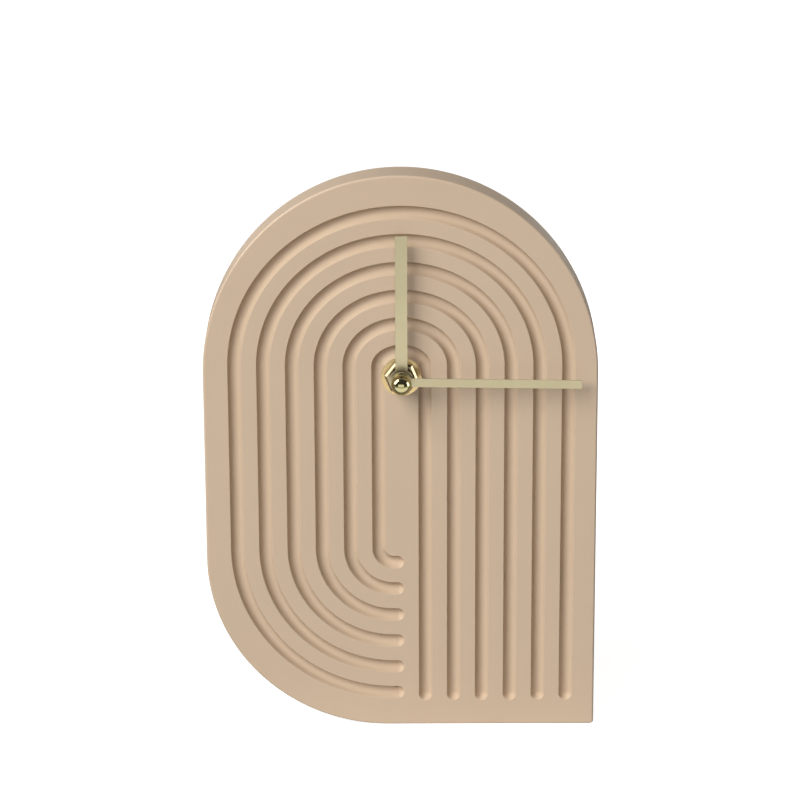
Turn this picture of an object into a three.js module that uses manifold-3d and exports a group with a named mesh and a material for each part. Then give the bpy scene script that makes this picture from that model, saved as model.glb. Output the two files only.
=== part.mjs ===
import * as THREE from 'three';
import { mergeVertices } from 'three/addons/utils/BufferGeometryUtils.js';
import Module from 'manifold-3d';

// A table clock: a routed, arch-topped panel on a rear foot, with a quartz movement behind its hands.
// Millimetres, +Z up, +X to the viewer's right and -Y towards the viewer.
// The origin is on the table, below the hands' axis, at the middle of the panel's thickness.

// Panel, with its middle line just to the left of the hands' axis
const panelWidth = 165;
const panelHeight = 245;
const panelThickness = 15;
const panelEdgeRound = 0.8;
const panelArchRise = 85.7;
const panelMiddle = -0.42;
const squareCornerRadius = 1.5;
const sweptCornerRadius = 77;

// Grooves routed in the face with a round-tipped V bit
const groovePitch = 12;
const grooveWidth = 5.7;
const grooveTipRadius = 1.9;
const grooveWallSlope = THREE.MathUtils.degToRad(59);
const grooveSideRim = 9.85;
const grooveTopRim = 12.75;
const grooveArchFlat = 2.9;
const grooveSweepRim = 12.3;
const grooveLegRim = 11.25;
const grooveBendOffset = 3.6;
const grooveEndRun = 1.6;
const grooveLeastRadius = 8;

// Rear foot and its dowels
const footLeft = -25;
const footRight = 65;
const footDepth = 40;
const footHeight = 15;
const footCornerRadius = 12;
const footEdgeRound = 1;
const dowelDiameter = 8;
const dowelInPanel = 9.5;
const dowelInFoot = 12.5;
const dowelEndRoom = 0.5;
const dowelInset = 18;
const dowelChamfer = 0.8;

// Hands' axis and the fittings on the face
const axisDrop = 4.2;
const washerDiameter = 16.8;
const washerThickness = 0.5;
const nutAcrossFlats = 12.6;
const nutThickness = 2.5;
const nutChamfer = 0.5;
const nutTurn = THREE.MathUtils.degToRad(-7.7);
const bushDiameter = 7.8;
const bushProud = 0.6;
const gasketDiameter = 24;
const gasketThickness = 0.8;

// Hands
const handThickness = 0.5;
const hourHandLength = 62.5;
const hourHandWidth = 5;
const hourHubDiameter = 10;
const hourHandStandoff = 1.6;
const colletDiameter = 7.2;
const colletHeight = 1;
const minuteHandLength = 75;
const minuteHandWidth = 3.7;
const minuteHubDiameter = 9;
const minuteHandTurn = THREE.MathUtils.degToRad(-0.85);
const handSpacing = 1.9;
const capDiameter = 8.5;
const capSeatHeight = 3;
const capGrip = 1.8;

// Movement housing and its pocket in the panel
const pocketDepth = 9;
const pocketClearance = 0.8;
const shellWall = 1.2;
const coverThickness = 1.2;
const movementRise = 28;
const shellCornerRadius = 3;
const bayFloor = 0.8;
const bayClearance = 0.4;
const contactSpace = 1.55;
const contactThickness = 0.5;
const contactWidth = 6;
const postRadius = 1.6;
const pivotBossRadius = 1.6;
const pivotBossHeight = 0.9;

// Battery, one AA cell
const batteryDiameter = 14.5;
const batteryLength = 50.5;
const batteryNubDiameter = 5.5;
const batteryNubHeight = 1;
const batteryShoulder = 0.6;

// Gear train
const rotorTeeth = 8;
const fifthTeeth = 40;
const fifthPinionTeeth = 10;
const secondsTeeth = 60;
const secondsPinionTeeth = 8;
const thirdTeeth = 60;
const thirdPinionTeeth = 8;
const centreTeeth = 64;
const cannonTeeth = 12;
const minuteTeeth = 36;
const minutePinionTeeth = 10;
const hourTeeth = 40;
const trainModule = 0.3;
const addendum = 0.8;
const dedendum = 1.2;
const toothTipShare = 0.11;
const toothRootShare = 0.25;
const wheelThickness = 0.9;
const layerGap = 0.8;
const firstLayerRoom = 0.6;
const coverRoom = 1.9;
const wheelRoom = 1;
const arborRadius = 0.4;
const minuteArborRadius = 1.6;
const clutchStubRadius = 1;
const hourTubeWall = 0.6;
const settingArborRadius = 1.3;
const settingArborRoom = 0.41;
const knobDiameter = 11;
const knobHeight = 2.6;
const knobFlutes = 18;
const knobFluteDepth = 0.5;
const rotorMagnetDiameter = 5.5;
const rotorMagnetHeight = 1.6;
const thirdAngle = THREE.MathUtils.degToRad(115);
const fifthAngle = THREE.MathUtils.degToRad(30);
const rotorAngle = THREE.MathUtils.degToRad(60);
const settingAngle = THREE.MathUtils.degToRad(180);

// Motor coil, stator and circuit board
const coilFlangeRadius = 3.7;
const coilWindingRadius = 3.4;
const coilTubeRadius = 1.9;
const coilLength = 12.2;
const coilFlangeThickness = 0.8;
const coreWidth = 2.2;
const coreOverlap = 3.6;
const coreThickness = 0.8;
const statorBoreRoom = 0.65;
const statorWeb = 1.5;
const plateInset = 4.8;
const boardThickness = 1;
const boardColumnWidth = 3.8;
const boardBandHeight = 12.4;
const boardLength = 18.6;
const crystalDiameter = 2;
const crystalLength = 6;
const chipBlobRadius = 2.2;
const chipBlobHeight = 0.9;

// Fits
const fit = 0.3;
const runningFit = 0.3;
const nutFit = 0.2;
const looseFit = 0.6;
const plateTopRoom = 0.9;
const contactRoom = 1.2;

// Round shapes
const archSteps = 24;
const bendSteps = 10;
const cornerSteps = 3;
const fineSteps = 32;
const smallSteps = 16;
const arborSteps = 10;
const capSteps = 10;
const bitSteps = 3;
const nutSides = 6;
const mergeDistance = 1e-4;

// Places that follow from the sizes
const faceY = -panelThickness / 2;
const backY = panelThickness / 2;
const panelArchHeight = panelHeight - panelArchRise;
const outerGrooveRadius = panelWidth / 2 - grooveSideRim - grooveWidth / 2;
const outerGrooveRise = outerGrooveRadius - grooveArchFlat;
const grooveArchHeight = panelHeight - grooveTopRim - grooveWidth / 2 - outerGrooveRise;
const axisHeight = grooveArchHeight - axisDrop;
const grooveCount = Math.floor((outerGrooveRadius - grooveLeastRadius) / groovePitch) + 1;
const grooveBendHeight = grooveSweepRim + grooveWidth / 2 + outerGrooveRadius - grooveBendOffset;
const grooveLegEnd = grooveLegRim + grooveWidth / 2;
const grooveWallRun = grooveWidth / 2 - grooveTipRadius * Math.sin(grooveWallSlope);
const grooveWallDepth = grooveWallRun * Math.tan(grooveWallSlope);
const grooveTipCentre = grooveWallDepth - grooveTipRadius * Math.cos(grooveWallSlope);
const grooveDepth = grooveTipCentre + grooveTipRadius;

const nutFront = faceY - washerThickness - nutThickness;
const bushFront = nutFront - bushProud;
const hourHandBack = bushFront - hourHandStandoff;
const hourHandFront = hourHandBack - handThickness;
const hourTubeFront = hourHandFront - fit;
const minuteHandBack = hourHandFront - handSpacing;
const minuteHandFront = minuteHandBack - handThickness;
const capBase = minuteHandFront - fit;
const capCentre = capBase - capSeatHeight;
const minuteArborFront = capBase - capGrip;

const pocketFloor = backY - pocketDepth;
const movementFront = pocketFloor + gasketThickness;
const shellFloor = movementFront + shellWall;
const layerStep = wheelThickness + layerGap;
const hourLayer = shellFloor + firstLayerRoom;
const minuteLayer = hourLayer + layerStep;
const centreLayer = minuteLayer + layerStep;
const plateFront = centreLayer + layerStep;
const thirdLayer = plateFront + layerStep;
const secondsLayer = thirdLayer + layerStep;
const fifthLayer = secondsLayer + layerStep;
const coverFront = fifthLayer + wheelThickness + coverRoom;
const coverBack = coverFront + coverThickness;
const arborEnd = coverFront - fit;

const tipRadius = (teeth, module) => (teeth / 2 + addendum) * module;
const centreDistance = (teethA, teethB, module) => (teethA + teethB) * module / 2;
const moduleFor = (distance, teethA, teethB) => 2 * distance / (teethA + teethB);
const thirdDistance = centreDistance(secondsPinionTeeth, thirdTeeth, trainModule);
const centreModule = moduleFor(thirdDistance, thirdPinionTeeth, centreTeeth);
const centreWheelTip = tipRadius(centreTeeth, centreModule);
const settingDistance = centreWheelTip + settingArborRadius + settingArborRoom;
const cannonModule = moduleFor(settingDistance, cannonTeeth, minuteTeeth);
const hourModule = moduleFor(settingDistance, minutePinionTeeth, hourTeeth);
const polar = (distance, angle) => new THREE.Vector2(distance * Math.cos(angle), distance * Math.sin(angle));
const centreAxis = polar(0, 0);
const thirdAxis = polar(thirdDistance, thirdAngle);
const fifthAxis = polar(centreDistance(fifthPinionTeeth, secondsTeeth, trainModule), fifthAngle);
const rotorAxis = polar(centreDistance(rotorTeeth, fifthTeeth, trainModule), rotorAngle).add(fifthAxis);
const settingAxis = polar(settingDistance, settingAngle);

const innerHalfWidth = batteryLength / 2 + contactSpace;
const shellHalfWidth = innerHalfWidth + shellWall;
const dividerTop = -(centreWheelTip + wheelRoom);
const bayTop = dividerTop - shellWall;
const bayBottom = bayTop - batteryDiameter - 2 * bayClearance;
const shellBottom = bayBottom - shellWall;
const chamberTop = movementRise - shellWall;
const batteryCentre = new THREE.Vector2(movementFront + bayFloor + bayClearance + batteryDiameter / 2,
  (bayTop + bayBottom) / 2);
const dividerSeam = dividerTop - shellWall / 2;
const plateBack = plateFront + wheelThickness;
const statorFront = plateBack + fit;
const statorBack = statorFront + wheelThickness;
const coreFront = statorBack + fit;
const coilDepth = coreFront + coreThickness / 2;
const coilHeight = chamberTop - looseFit - coilFlangeRadius;
const coilCentre = rotorAxis.x;
const coilLeft = coilCentre - coilLength / 2;
const coilRight = coilCentre + coilLength / 2;
const boardLeft = -innerHalfWidth + contactThickness + looseFit;
const boardTop = chamberTop - fit;
const boardBack = coverFront - crystalDiameter - looseFit;
const boardFront = boardBack - boardThickness;
const railTop = dividerTop + contactThickness + fit;
const railBack = coverFront - contactRoom;
const railFront = fifthLayer;

const wasm = await Module();
wasm.setup();

// Materials
const finish = (color, roughness, metalness) =>
  new THREE.MeshStandardMaterial({ color, roughness, metalness });
const beigePaint = finish(0xcfb9a1, 0.7, 0);
const beech = finish(0xd2ae7c, 0.7, 0);
const brass = finish(0xcdb968, 0.2, 1);
const champagne = finish(0xc6bd9c, 0.4, 1);
const blackPlastic = finish(0x1b1b1d, 0.5, 0);
const blackRubber = finish(0x151515, 0.8, 0);
const whitePlastic = finish(0xe6e3da, 0.45, 0);
const greenBoard = finish(0x2c5a35, 0.5, 0);
const bareSteel = finish(0xb8babd, 0.3, 1);
const copperWire = finish(0xb0643a, 0.35, 1);
const batteryWrap = finish(0x3a3d42, 0.4, 0);
const darkMagnet = finish(0x404045, 0.5, 0);

// Solids

/** Turn a closed three.js geometry into a solid that can be joined and cut. */
function toSolid(geometry) {
  const bare = geometry.clone();
  bare.deleteAttribute('normal');
  bare.deleteAttribute('uv');
  const merged = mergeVertices(bare, mergeDistance);
  const corners = merged.index.array;
  const kept = [];
  for (let i = 0; i < corners.length; i += 3) {
    const [a, b, c] = corners.slice(i, i + 3);
    if (a !== b && b !== c && c !== a) kept.push(a, b, c);
  }
  const vertProperties = Float32Array.from(merged.attributes.position.array);
  return new wasm.Manifold(new wasm.Mesh({ numProp: 3, vertProperties, triVerts: Uint32Array.from(kept) }));
}

/** Turn a solid back into a three.js geometry. */
function toGeometry(solid) {
  const mesh = solid.getMesh();
  const geometry = new THREE.BufferGeometry();
  geometry.setAttribute('position', new THREE.BufferAttribute(mesh.vertProperties, 3));
  geometry.setIndex(new THREE.BufferAttribute(mesh.triVerts, 1));
  geometry.computeVertexNormals();
  return geometry;
}

const join = (...solids) => solids.reduce((whole, next) => whole.add(next));
const cut = (body, ...tools) => tools.reduce((rest, tool) => rest.subtract(tool), body);

/** Points along an arc, ends included. A rise other than the radius flattens or lifts the arc. */
function arcPoints(x, y, radius, from, to, steps, rise = radius) {
  return Array.from({ length: steps + 1 }, (_, i) => {
    const angle = from + (to - from) * i / steps;
    return new THREE.Vector2(x + radius * Math.cos(angle), y + rise * Math.sin(angle));
  });
}

/** A closed rectangle with round corners, counter-clockwise. */
function roundedOutline(left, right, bottom, top, radius, steps = cornerSteps) {
  const quarter = Math.PI / 2;
  const corners = [[right, top, 0], [left, top, 1], [left, bottom, 2], [right, bottom, 3]];
  return corners.flatMap(([x, y, turn]) => arcPoints(x - radius * Math.sign(x - (left + right) / 2),
    y - radius * Math.sign(y - (bottom + top) / 2), radius, turn * quarter, (turn + 1) * quarter, steps));
}

/** Extrude an outline drawn in X and Z from one depth to another, with an eased edge if asked. */
function slab(outline, front, back, edge = 0) {
  const bevel = { bevelThickness: edge, bevelSize: edge, bevelOffset: -edge, bevelSegments: 2 };
  const options = { depth: back - front - 2 * edge, bevelEnabled: edge > 0, ...bevel };
  const geometry = new THREE.ExtrudeGeometry(new THREE.Shape(outline), options);
  return toSolid(geometry.rotateX(Math.PI / 2).translate(0, back - edge, 0));
}

/** Turn a profile of [radius, depth] pairs, front to back, about an axis along Y at the given place. */
function turned(profile, steps, place = centreAxis) {
  const points = profile.map(([radius, depth]) => new THREE.Vector2(radius, depth));
  return toSolid(new THREE.LatheGeometry(points, steps).translate(place.x, 0, place.y));
}

const rod = (radius, front, back, steps, place = centreAxis) =>
  turned([[0, front], [radius, front], [radius, back], [0, back]], steps, place);

/** Turn a profile of [radius, x] pairs, left to right, about an axis along X. */
function turnedAcross(profile, steps, depth, height) {
  const points = profile.map(([radius, along]) => new THREE.Vector2(radius, along));
  const lathe = new THREE.LatheGeometry(points, steps).rotateZ(-Math.PI / 2);
  return toSolid(lathe.translate(0, depth, height));
}

/** A box between two opposite corners. */
function block(xMin, xMax, yMin, yMax, zMin, zMax) {
  const box = new THREE.BoxGeometry(xMax - xMin, yMax - yMin, zMax - zMin);
  return toSolid(box.translate((xMin + xMax) / 2, (yMin + yMax) / 2, (zMin + zMax) / 2));
}

function piece(name, solid, material) {
  const mesh = new THREE.Mesh(toGeometry(solid), material);
  mesh.name = name;
  return mesh;
}

// Panel

/** A groove's centre line through its stations, stepped from station to station. */
class GroovePath extends THREE.Curve {
  constructor(stations) {
    super();
    this.stations = stations;
    this.steps = stations.length - 1;
  }

  getPoint(t, target = new THREE.Vector3()) {
    const place = t * this.steps;
    const index = Math.min(Math.floor(place), this.steps - 1);
    return target.lerpVectors(this.stations[index], this.stations[index + 1], place - index);
  }

  getPointAt(t, target) {
    return this.getPoint(t, target);
  }

  getTangentAt(t, target = new THREE.Vector3()) {
    const halfStep = 0.5 / this.steps;
    const ahead = this.getPoint(Math.min(t + halfStep, 1));
    const behind = this.getPoint(Math.max(t - halfStep, 0));
    return target.subVectors(ahead, behind).normalize();
  }
}

/** Half of the router bit's rounded V as [half width, depth] pairs, from the face down to its tip. */
function bitProfile() {
  const quarter = Math.PI / 2;
  const tip = arcPoints(0, grooveTipCentre, grooveTipRadius, quarter - grooveWallSlope, quarter, bitSteps);
  return [[grooveWidth / 2, 0], ...tip.map((point) => [point.x, point.y])];
}

/** What the router takes away for one groove: up the right leg, over the arch and round the bend. */
function grooveCutter(radius) {
  const overFace = grooveDepth;
  const bendRadius = radius - grooveBendOffset;
  const start = new THREE.Vector2(radius, grooveLegEnd);
  const end = new THREE.Vector2(grooveEndRun - grooveBendOffset, grooveBendHeight - bendRadius);
  const rise = radius - grooveArchFlat;
  const line = [start, ...arcPoints(0, grooveArchHeight, radius, 0, Math.PI, archSteps, rise),
    ...arcPoints(-grooveBendOffset, grooveBendHeight, bendRadius, Math.PI, 1.5 * Math.PI, bendSteps), end];
  const path = new GroovePath(line.map((point) => new THREE.Vector3(point.x, faceY, point.y)));
  const half = [[grooveWidth / 2, -overFace], ...bitProfile()];
  const mirrored = half.slice(0, -1).map(([across, depth]) => [-across, depth]);
  const section = [...mirrored, ...half.reverse()];
  const shape = new THREE.Shape(section.map(([across, depth]) => new THREE.Vector2(-depth, across)));
  const options = { steps: path.steps, bevelEnabled: false, extrudePath: path };
  const sweep = new THREE.ExtrudeGeometry(shape, options);
  const bit = [[0, -overFace], [grooveWidth / 2, -overFace], ...bitProfile()];
  const bitAt = (place) => turned(bit.map(([r, depth]) => [r, faceY + depth]), smallSteps, place);
  return join(toSolid(sweep), bitAt(start), bitAt(end));
}

function panelOutline() {
  const half = panelWidth / 2;
  const square = squareCornerRadius;
  const swept = sweptCornerRadius;
  const left = panelMiddle - half + swept;
  const right = panelMiddle + half - square;
  return [...arcPoints(panelMiddle, panelArchHeight, half, 0, Math.PI, 2 * archSteps, panelArchRise),
    ...arcPoints(left, swept, swept, Math.PI, 1.5 * Math.PI, archSteps),
    ...arcPoints(right, square, square, 1.5 * Math.PI, 2 * Math.PI, cornerSteps)];
}

const dowelPlaces = [footLeft + dowelInset, footRight - dowelInset].map((x) =>
  new THREE.Vector2(x, footHeight / 2));

function casePanel() {
  const blank = slab(panelOutline(), faceY, backY, panelEdgeRound);
  const radii = Array.from({ length: grooveCount }, (_, i) => outerGrooveRadius - i * groovePitch);
  const half = shellHalfWidth + pocketClearance;
  const low = axisHeight + shellBottom - pocketClearance;
  const high = axisHeight + movementRise + pocketClearance;
  const pocket = slab(roundedOutline(-half, half, low, high, shellCornerRadius), pocketFloor, backY + fit);
  const bushHole = rod(bushDiameter / 2 + fit, faceY - fit, pocketFloor + fit, fineSteps,
    new THREE.Vector2(0, axisHeight));
  const dowelHoles = dowelPlaces.map((place) =>
    rod(dowelDiameter / 2 + fit, backY - dowelInPanel - dowelEndRoom, backY + fit, smallSteps, place));
  const grooved = cut(blank, ...radii.map(grooveCutter));
  return piece('case_panel', cut(grooved, pocket, bushHole, ...dowelHoles), beigePaint);
}

// Foot

function standFoot() {
  const back = backY + footDepth;
  const round = footCornerRadius;
  const edge = footEdgeRound;
  const outline = [new THREE.Vector2(footLeft, backY), new THREE.Vector2(footRight, backY),
    ...arcPoints(footRight - round, back - round, round, 0, Math.PI / 2, smallSteps / 2),
    ...arcPoints(footLeft + round, back - round, round, Math.PI / 2, Math.PI, smallSteps / 2)];
  const bevel = { bevelThickness: edge, bevelSize: edge, bevelOffset: -edge, bevelSegments: 2 };
  const depth = footHeight - 2 * edge;
  const board = new THREE.ExtrudeGeometry(new THREE.Shape(outline), { depth, bevelEnabled: true, ...bevel });
  const holes = dowelPlaces.map((place) =>
    rod(dowelDiameter / 2 + fit, backY - fit, backY + dowelInFoot + dowelEndRoom, smallSteps, place));
  return piece('stand_foot', cut(toSolid(board.translate(0, 0, edge)), ...holes), beigePaint);
}

function dowel(name, place) {
  const radius = dowelDiameter / 2;
  const front = backY - dowelInPanel;
  const back = backY + dowelInFoot;
  const profile = [[0, front], [radius - dowelChamfer, front], [radius, front + dowelChamfer],
    [radius, back - dowelChamfer], [radius - dowelChamfer, back], [0, back]];
  return piece(name, turned(profile, smallSteps, place), beech);
}

// Fittings and hands on the face

function ring(outerRadius, innerRadius, front, back, steps) {
  return cut(rod(outerRadius, front, back, steps), rod(innerRadius, front - fit, back + fit, steps));
}

const frontWasher = () => piece('front_washer',
  ring(washerDiameter / 2, bushDiameter / 2 + fit, faceY - washerThickness, faceY, fineSteps), brass);

/** Hexagon nut with its front corners turned down to a cone. */
function hexNut() {
  const corner = nutAcrossFlats / 2 / Math.cos(Math.PI / nutSides);
  const back = faceY - washerThickness;
  const hexagon = arcPoints(0, 0, corner, nutTurn, nutTurn + 2 * Math.PI, nutSides).slice(0, -1);
  const cone = turned([[0, nutFront], [nutAcrossFlats / 2, nutFront], [corner + fit, nutFront + nutChamfer],
    [corner + fit, back], [0, back]], fineSteps);
  const bore = rod(bushDiameter / 2 + nutFit, nutFront - fit, back + fit, fineSteps);
  return piece('hex_nut', cut(slab(hexagon, nutFront, back).intersect(cone), bore), brass);
}

const hourTubeRadius = minuteArborRadius + runningFit + hourTubeWall;

/** A straight blade from its round hub out to a square tip, drawn pointing along +X. */
function bladeOutline(length, width, hubDiameter) {
  const hub = hubDiameter / 2;
  const root = Math.asin(width / 2 / hub);
  return [...arcPoints(0, 0, hub, root, 2 * Math.PI - root, fineSteps),
    new THREE.Vector2(length, -width / 2), new THREE.Vector2(length, width / 2)];
}

function hourHand() {
  const upright = bladeOutline(hourHandLength, hourHandWidth, hourHubDiameter)
    .map((point) => new THREE.Vector2(-point.y, point.x));
  const blade = slab(upright, hourHandFront, hourHandBack);
  const colletBack = hourHandBack + colletHeight;
  const collet = rod(colletDiameter / 2, hourHandFront, colletBack, fineSteps);
  const bore = rod(hourTubeRadius + nutFit, hourHandFront - fit, colletBack + fit, fineSteps);
  return piece('hour_hand', cut(join(blade, collet), bore), champagne);
}

function minuteHand() {
  const outline = bladeOutline(minuteHandLength, minuteHandWidth, minuteHubDiameter)
    .map((point) => point.rotateAround(new THREE.Vector2(), minuteHandTurn));
  const bore = rod(minuteArborRadius + nutFit, minuteHandFront - fit, minuteHandBack + fit, smallSteps);
  return piece('minute_hand', cut(slab(outline, minuteHandFront, minuteHandBack), bore), champagne);
}

/** Ball cap: a sphere cut flat where it meets the minute hand, with a blind hole for the arbor. */
function capNut() {
  const radius = capDiameter / 2;
  const seat = Math.asin(capSeatHeight / radius);
  const ball = arcPoints(0, 0, radius, -Math.PI / 2, seat, capSteps).map((p) => [p.x, capCentre + p.y]);
  ball[0][0] = 0;
  const bore = rod(minuteArborRadius + nutFit, minuteArborFront - fit, capBase + fit, smallSteps);
  return piece('cap_nut', cut(turned([...ball, [0, capBase]], 2 * capSteps), bore), brass);
}

// Movement housing

const housingOutline = (bottom) =>
  roundedOutline(-shellHalfWidth, shellHalfWidth, bottom, movementRise, shellCornerRadius);

const platePosts = [[-1, -1], [1, -1], [-1, 1], [1, 1]].map(([side, rise]) => new THREE.Vector2(
  side * (innerHalfWidth - plateInset - postRadius - fit),
  rise < 0 ? dividerTop + postRadius + fit : coilHeight - coilFlangeRadius - 2 * postRadius - fit));
const boardPosts = [new THREE.Vector2(boardLeft + postRadius + fit, 0),
  new THREE.Vector2(boardLeft + boardLength - postRadius, boardTop - postRadius)];

function movementShell() {
  const body = slab(housingOutline(shellBottom), movementFront, coverBack);
  const bush = rod(bushDiameter / 2, bushFront, shellFloor, fineSteps);
  const half = innerHalfWidth;
  const open = coverBack + fit;
  const chamber = block(-half, half, shellFloor, open, dividerTop, chamberTop);
  const bay = block(-half, half, movementFront + bayFloor, open, bayBottom, bayTop);
  const coverSeat = block(-shellHalfWidth - fit, shellHalfWidth + fit, arborEnd, open, dividerSeam,
    movementRise + fit);
  const slotDepth = contactThickness + contactRoom;
  const contactSlots = [-half, half - slotDepth].map((left) =>
    block(left, left + slotDepth, shellFloor + fit, open, bayTop - fit, dividerTop + fit));
  const bore = rod(hourTubeRadius + runningFit, bushFront - fit, shellFloor + fit, fineSteps);
  const post = (place, back) => rod(postRadius, movementFront + fit, back - fit, arborSteps, place);
  const posts = platePosts.map((place) => post(place, plateFront));
  const tallPosts = boardPosts.map((place) => post(place, boardFront));
  const hollow = cut(join(body, bush), chamber, bay, coverSeat, ...contactSlots, bore);
  return piece('movement_shell', join(hollow, ...posts, ...tallPosts), blackPlastic);
}

function movementCover() {
  const plate = slab(housingOutline(dividerSeam + fit), coverFront, coverBack);
  const pivots = [centreAxis, thirdAxis, fifthAxis, rotorAxis];
  const bosses = pivots.map((place) =>
    rod(pivotBossRadius, coverFront - pivotBossHeight, coverFront + fit, smallSteps, place));
  const pivotHoles = pivots.map((place) =>
    rod(arborRadius + runningFit, coverFront - pivotBossHeight - fit, coverFront + fit, arborSteps, place));
  const settingHole = rod(settingArborRadius + runningFit, coverFront - fit, coverBack + fit, smallSteps,
    settingAxis);
  return piece('movement_cover', cut(join(plate, ...bosses), ...pivotHoles, settingHole), blackPlastic);
}

const rubberGasket = () => piece('rubber_gasket',
  ring(gasketDiameter / 2, bushDiameter / 2 + fit, pocketFloor, movementFront, fineSteps), blackRubber);

/** Battery lying across the bay, its raised end to the right. */
function battery() {
  const radius = batteryDiameter / 2;
  const left = -innerHalfWidth + contactSpace;
  const right = left + batteryLength;
  const shoulder = right - batteryNubHeight;
  const profile = [[0, left], [radius - batteryShoulder, left], [radius, left + batteryShoulder],
    [radius, shoulder - batteryShoulder], [radius - batteryShoulder, shoulder],
    [batteryNubDiameter / 2, shoulder], [batteryNubDiameter / 2, right], [0, right]];
  return piece('battery', turnedAcross(profile, fineSteps, batteryCentre.x, batteryCentre.y), batteryWrap);
}

/** Strip at the raised end of the battery, with a rail along the divider to the circuit board. */
function positiveContact() {
  const wall = innerHalfWidth - fit;
  const front = batteryCentre.x - contactWidth / 2;
  const low = batteryCentre.y - contactWidth;
  const strip = block(wall - contactThickness, wall, front, railBack, low, railTop);
  const rail = block(boardLeft + fit, wall, railFront, railBack, railTop - contactThickness, railTop);
  return piece('positive_contact', join(strip, rail), bareSteel);
}

/** Strip at the flat end of the battery, with a pressed tongue that bears on it. */
function negativeContact() {
  const wall = -innerHalfWidth + fit;
  const front = batteryCentre.x - contactWidth / 2;
  const low = batteryCentre.y - contactWidth;
  const tongueReach = contactSpace - contactThickness - looseFit;
  const tongueHalf = contactWidth / 2;
  const strip = block(wall, wall + contactThickness, front, front + contactWidth, low, contactWidth);
  const tongue = block(wall + contactThickness / 2, wall + contactThickness + tongueReach, front,
    front + contactWidth, batteryCentre.y - tongueHalf, batteryCentre.y + tongueHalf);
  return piece('negative_contact', join(strip, tongue), bareSteel);
}

// Gear train

/** Outline of a toothed wheel, with one tooth centred on the given angle. */
function toothedOutline(teeth, module, phase) {
  const tip = tipRadius(teeth, module);
  const root = (teeth / 2 - dedendum) * module;
  const step = 2 * Math.PI / teeth;
  const corners = [[root, -toothRootShare], [tip, -toothTipShare],
    [tip, toothTipShare], [root, toothRootShare]];
  return Array.from({ length: teeth }, (_, i) => corners.map(([radius, share]) =>
    polar(radius, phase + (i + share) * step))).flat();
}

/** Toothed wheel about an axis, between two depths. */
function toothed(teeth, module, phase, front, back, place) {
  const outline = toothedOutline(teeth, module, phase).map((point) => point.add(place));
  return slab(outline, front, back);
}

const wheelAt = (teeth, module, phase, front, place) =>
  toothed(teeth, module, phase, front, front + wheelThickness, place);

/** A pinion is a little wider than the wheel that it drives, and runs back to its own wheel. */
const pinionAt = (teeth, module, phase, front, place, back = front + wheelThickness) =>
  toothed(teeth, module, phase, front - fit / 2, back + fit / 2, place);

/** The angle of a tooth on a driven wheel that puts its gap where the driver has a tooth. */
function meshedPhase(driverTeeth, driverPhase, from, to, drivenTeeth) {
  const direction = to.clone().sub(from).angle();
  const ahead = (direction - driverPhase) * driverTeeth / (2 * Math.PI);
  return direction + Math.PI + (ahead + 0.5) * 2 * Math.PI / drivenTeeth;
}

function rotor() {
  const phase = meshedPhase(fifthTeeth, 0, fifthAxis, rotorAxis, rotorTeeth);
  const magnetBack = statorFront + rotorMagnetHeight;
  const magnet = rod(rotorMagnetDiameter / 2, statorFront, magnetBack, smallSteps, rotorAxis);
  const arbor = rod(arborRadius, plateFront, arborEnd, arborSteps, rotorAxis);
  const pinion = pinionAt(rotorTeeth, trainModule, phase, fifthLayer, rotorAxis);
  return piece('rotor', join(magnet, arbor, pinion), darkMagnet);
}

function fifthWheel() {
  const phase = meshedPhase(secondsTeeth, 0, centreAxis, fifthAxis, fifthPinionTeeth);
  const wheel = wheelAt(fifthTeeth, trainModule, 0, fifthLayer, fifthAxis);
  const pinion = pinionAt(fifthPinionTeeth, trainModule, phase, secondsLayer, fifthAxis, fifthLayer);
  const arbor = rod(arborRadius, plateFront, arborEnd, arborSteps, fifthAxis);
  return piece('fifth_wheel', join(wheel, pinion, arbor), whitePlastic);
}

function secondsWheel() {
  const wheel = wheelAt(secondsTeeth, trainModule, 0, secondsLayer, centreAxis);
  const pinion = pinionAt(secondsPinionTeeth, trainModule, 0, thirdLayer, centreAxis, secondsLayer);
  const arbor = rod(arborRadius, plateFront, arborEnd, arborSteps);
  return piece('seconds_wheel', join(wheel, pinion, arbor), whitePlastic);
}

function thirdWheel() {
  const phase = meshedPhase(secondsPinionTeeth, 0, centreAxis, thirdAxis, thirdTeeth);
  const wheel = wheelAt(thirdTeeth, trainModule, phase, thirdLayer, thirdAxis);
  const pinion = pinionAt(thirdPinionTeeth, centreModule, 0, centreLayer, thirdAxis, thirdLayer);
  const arbor = rod(arborRadius, shellFloor + fit, arborEnd, arborSteps, thirdAxis);
  return piece('third_wheel', join(wheel, pinion, arbor), whitePlastic);
}

function centreWheel() {
  const phase = meshedPhase(thirdPinionTeeth, 0, thirdAxis, centreAxis, centreTeeth);
  const wheel = wheelAt(centreTeeth, centreModule, phase, centreLayer, centreAxis);
  const bore = rod(clutchStubRadius + fit, centreLayer - fit, plateFront, arborSteps);
  return piece('centre_wheel', cut(wheel, bore), whitePlastic);
}

/** Arbor of the minute hand: cannon pinion behind, and a stub on which the centre wheel slips. */
function minuteArbor() {
  const shaft = rod(minuteArborRadius, minuteArborFront, centreLayer - fit, smallSteps);
  const stub = rod(clutchStubRadius, minuteLayer, plateFront - fit, arborSteps);
  const cannon = pinionAt(cannonTeeth, cannonModule, 0, minuteLayer, centreAxis);
  return piece('minute_arbor', join(shaft, stub, cannon), bareSteel);
}

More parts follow.
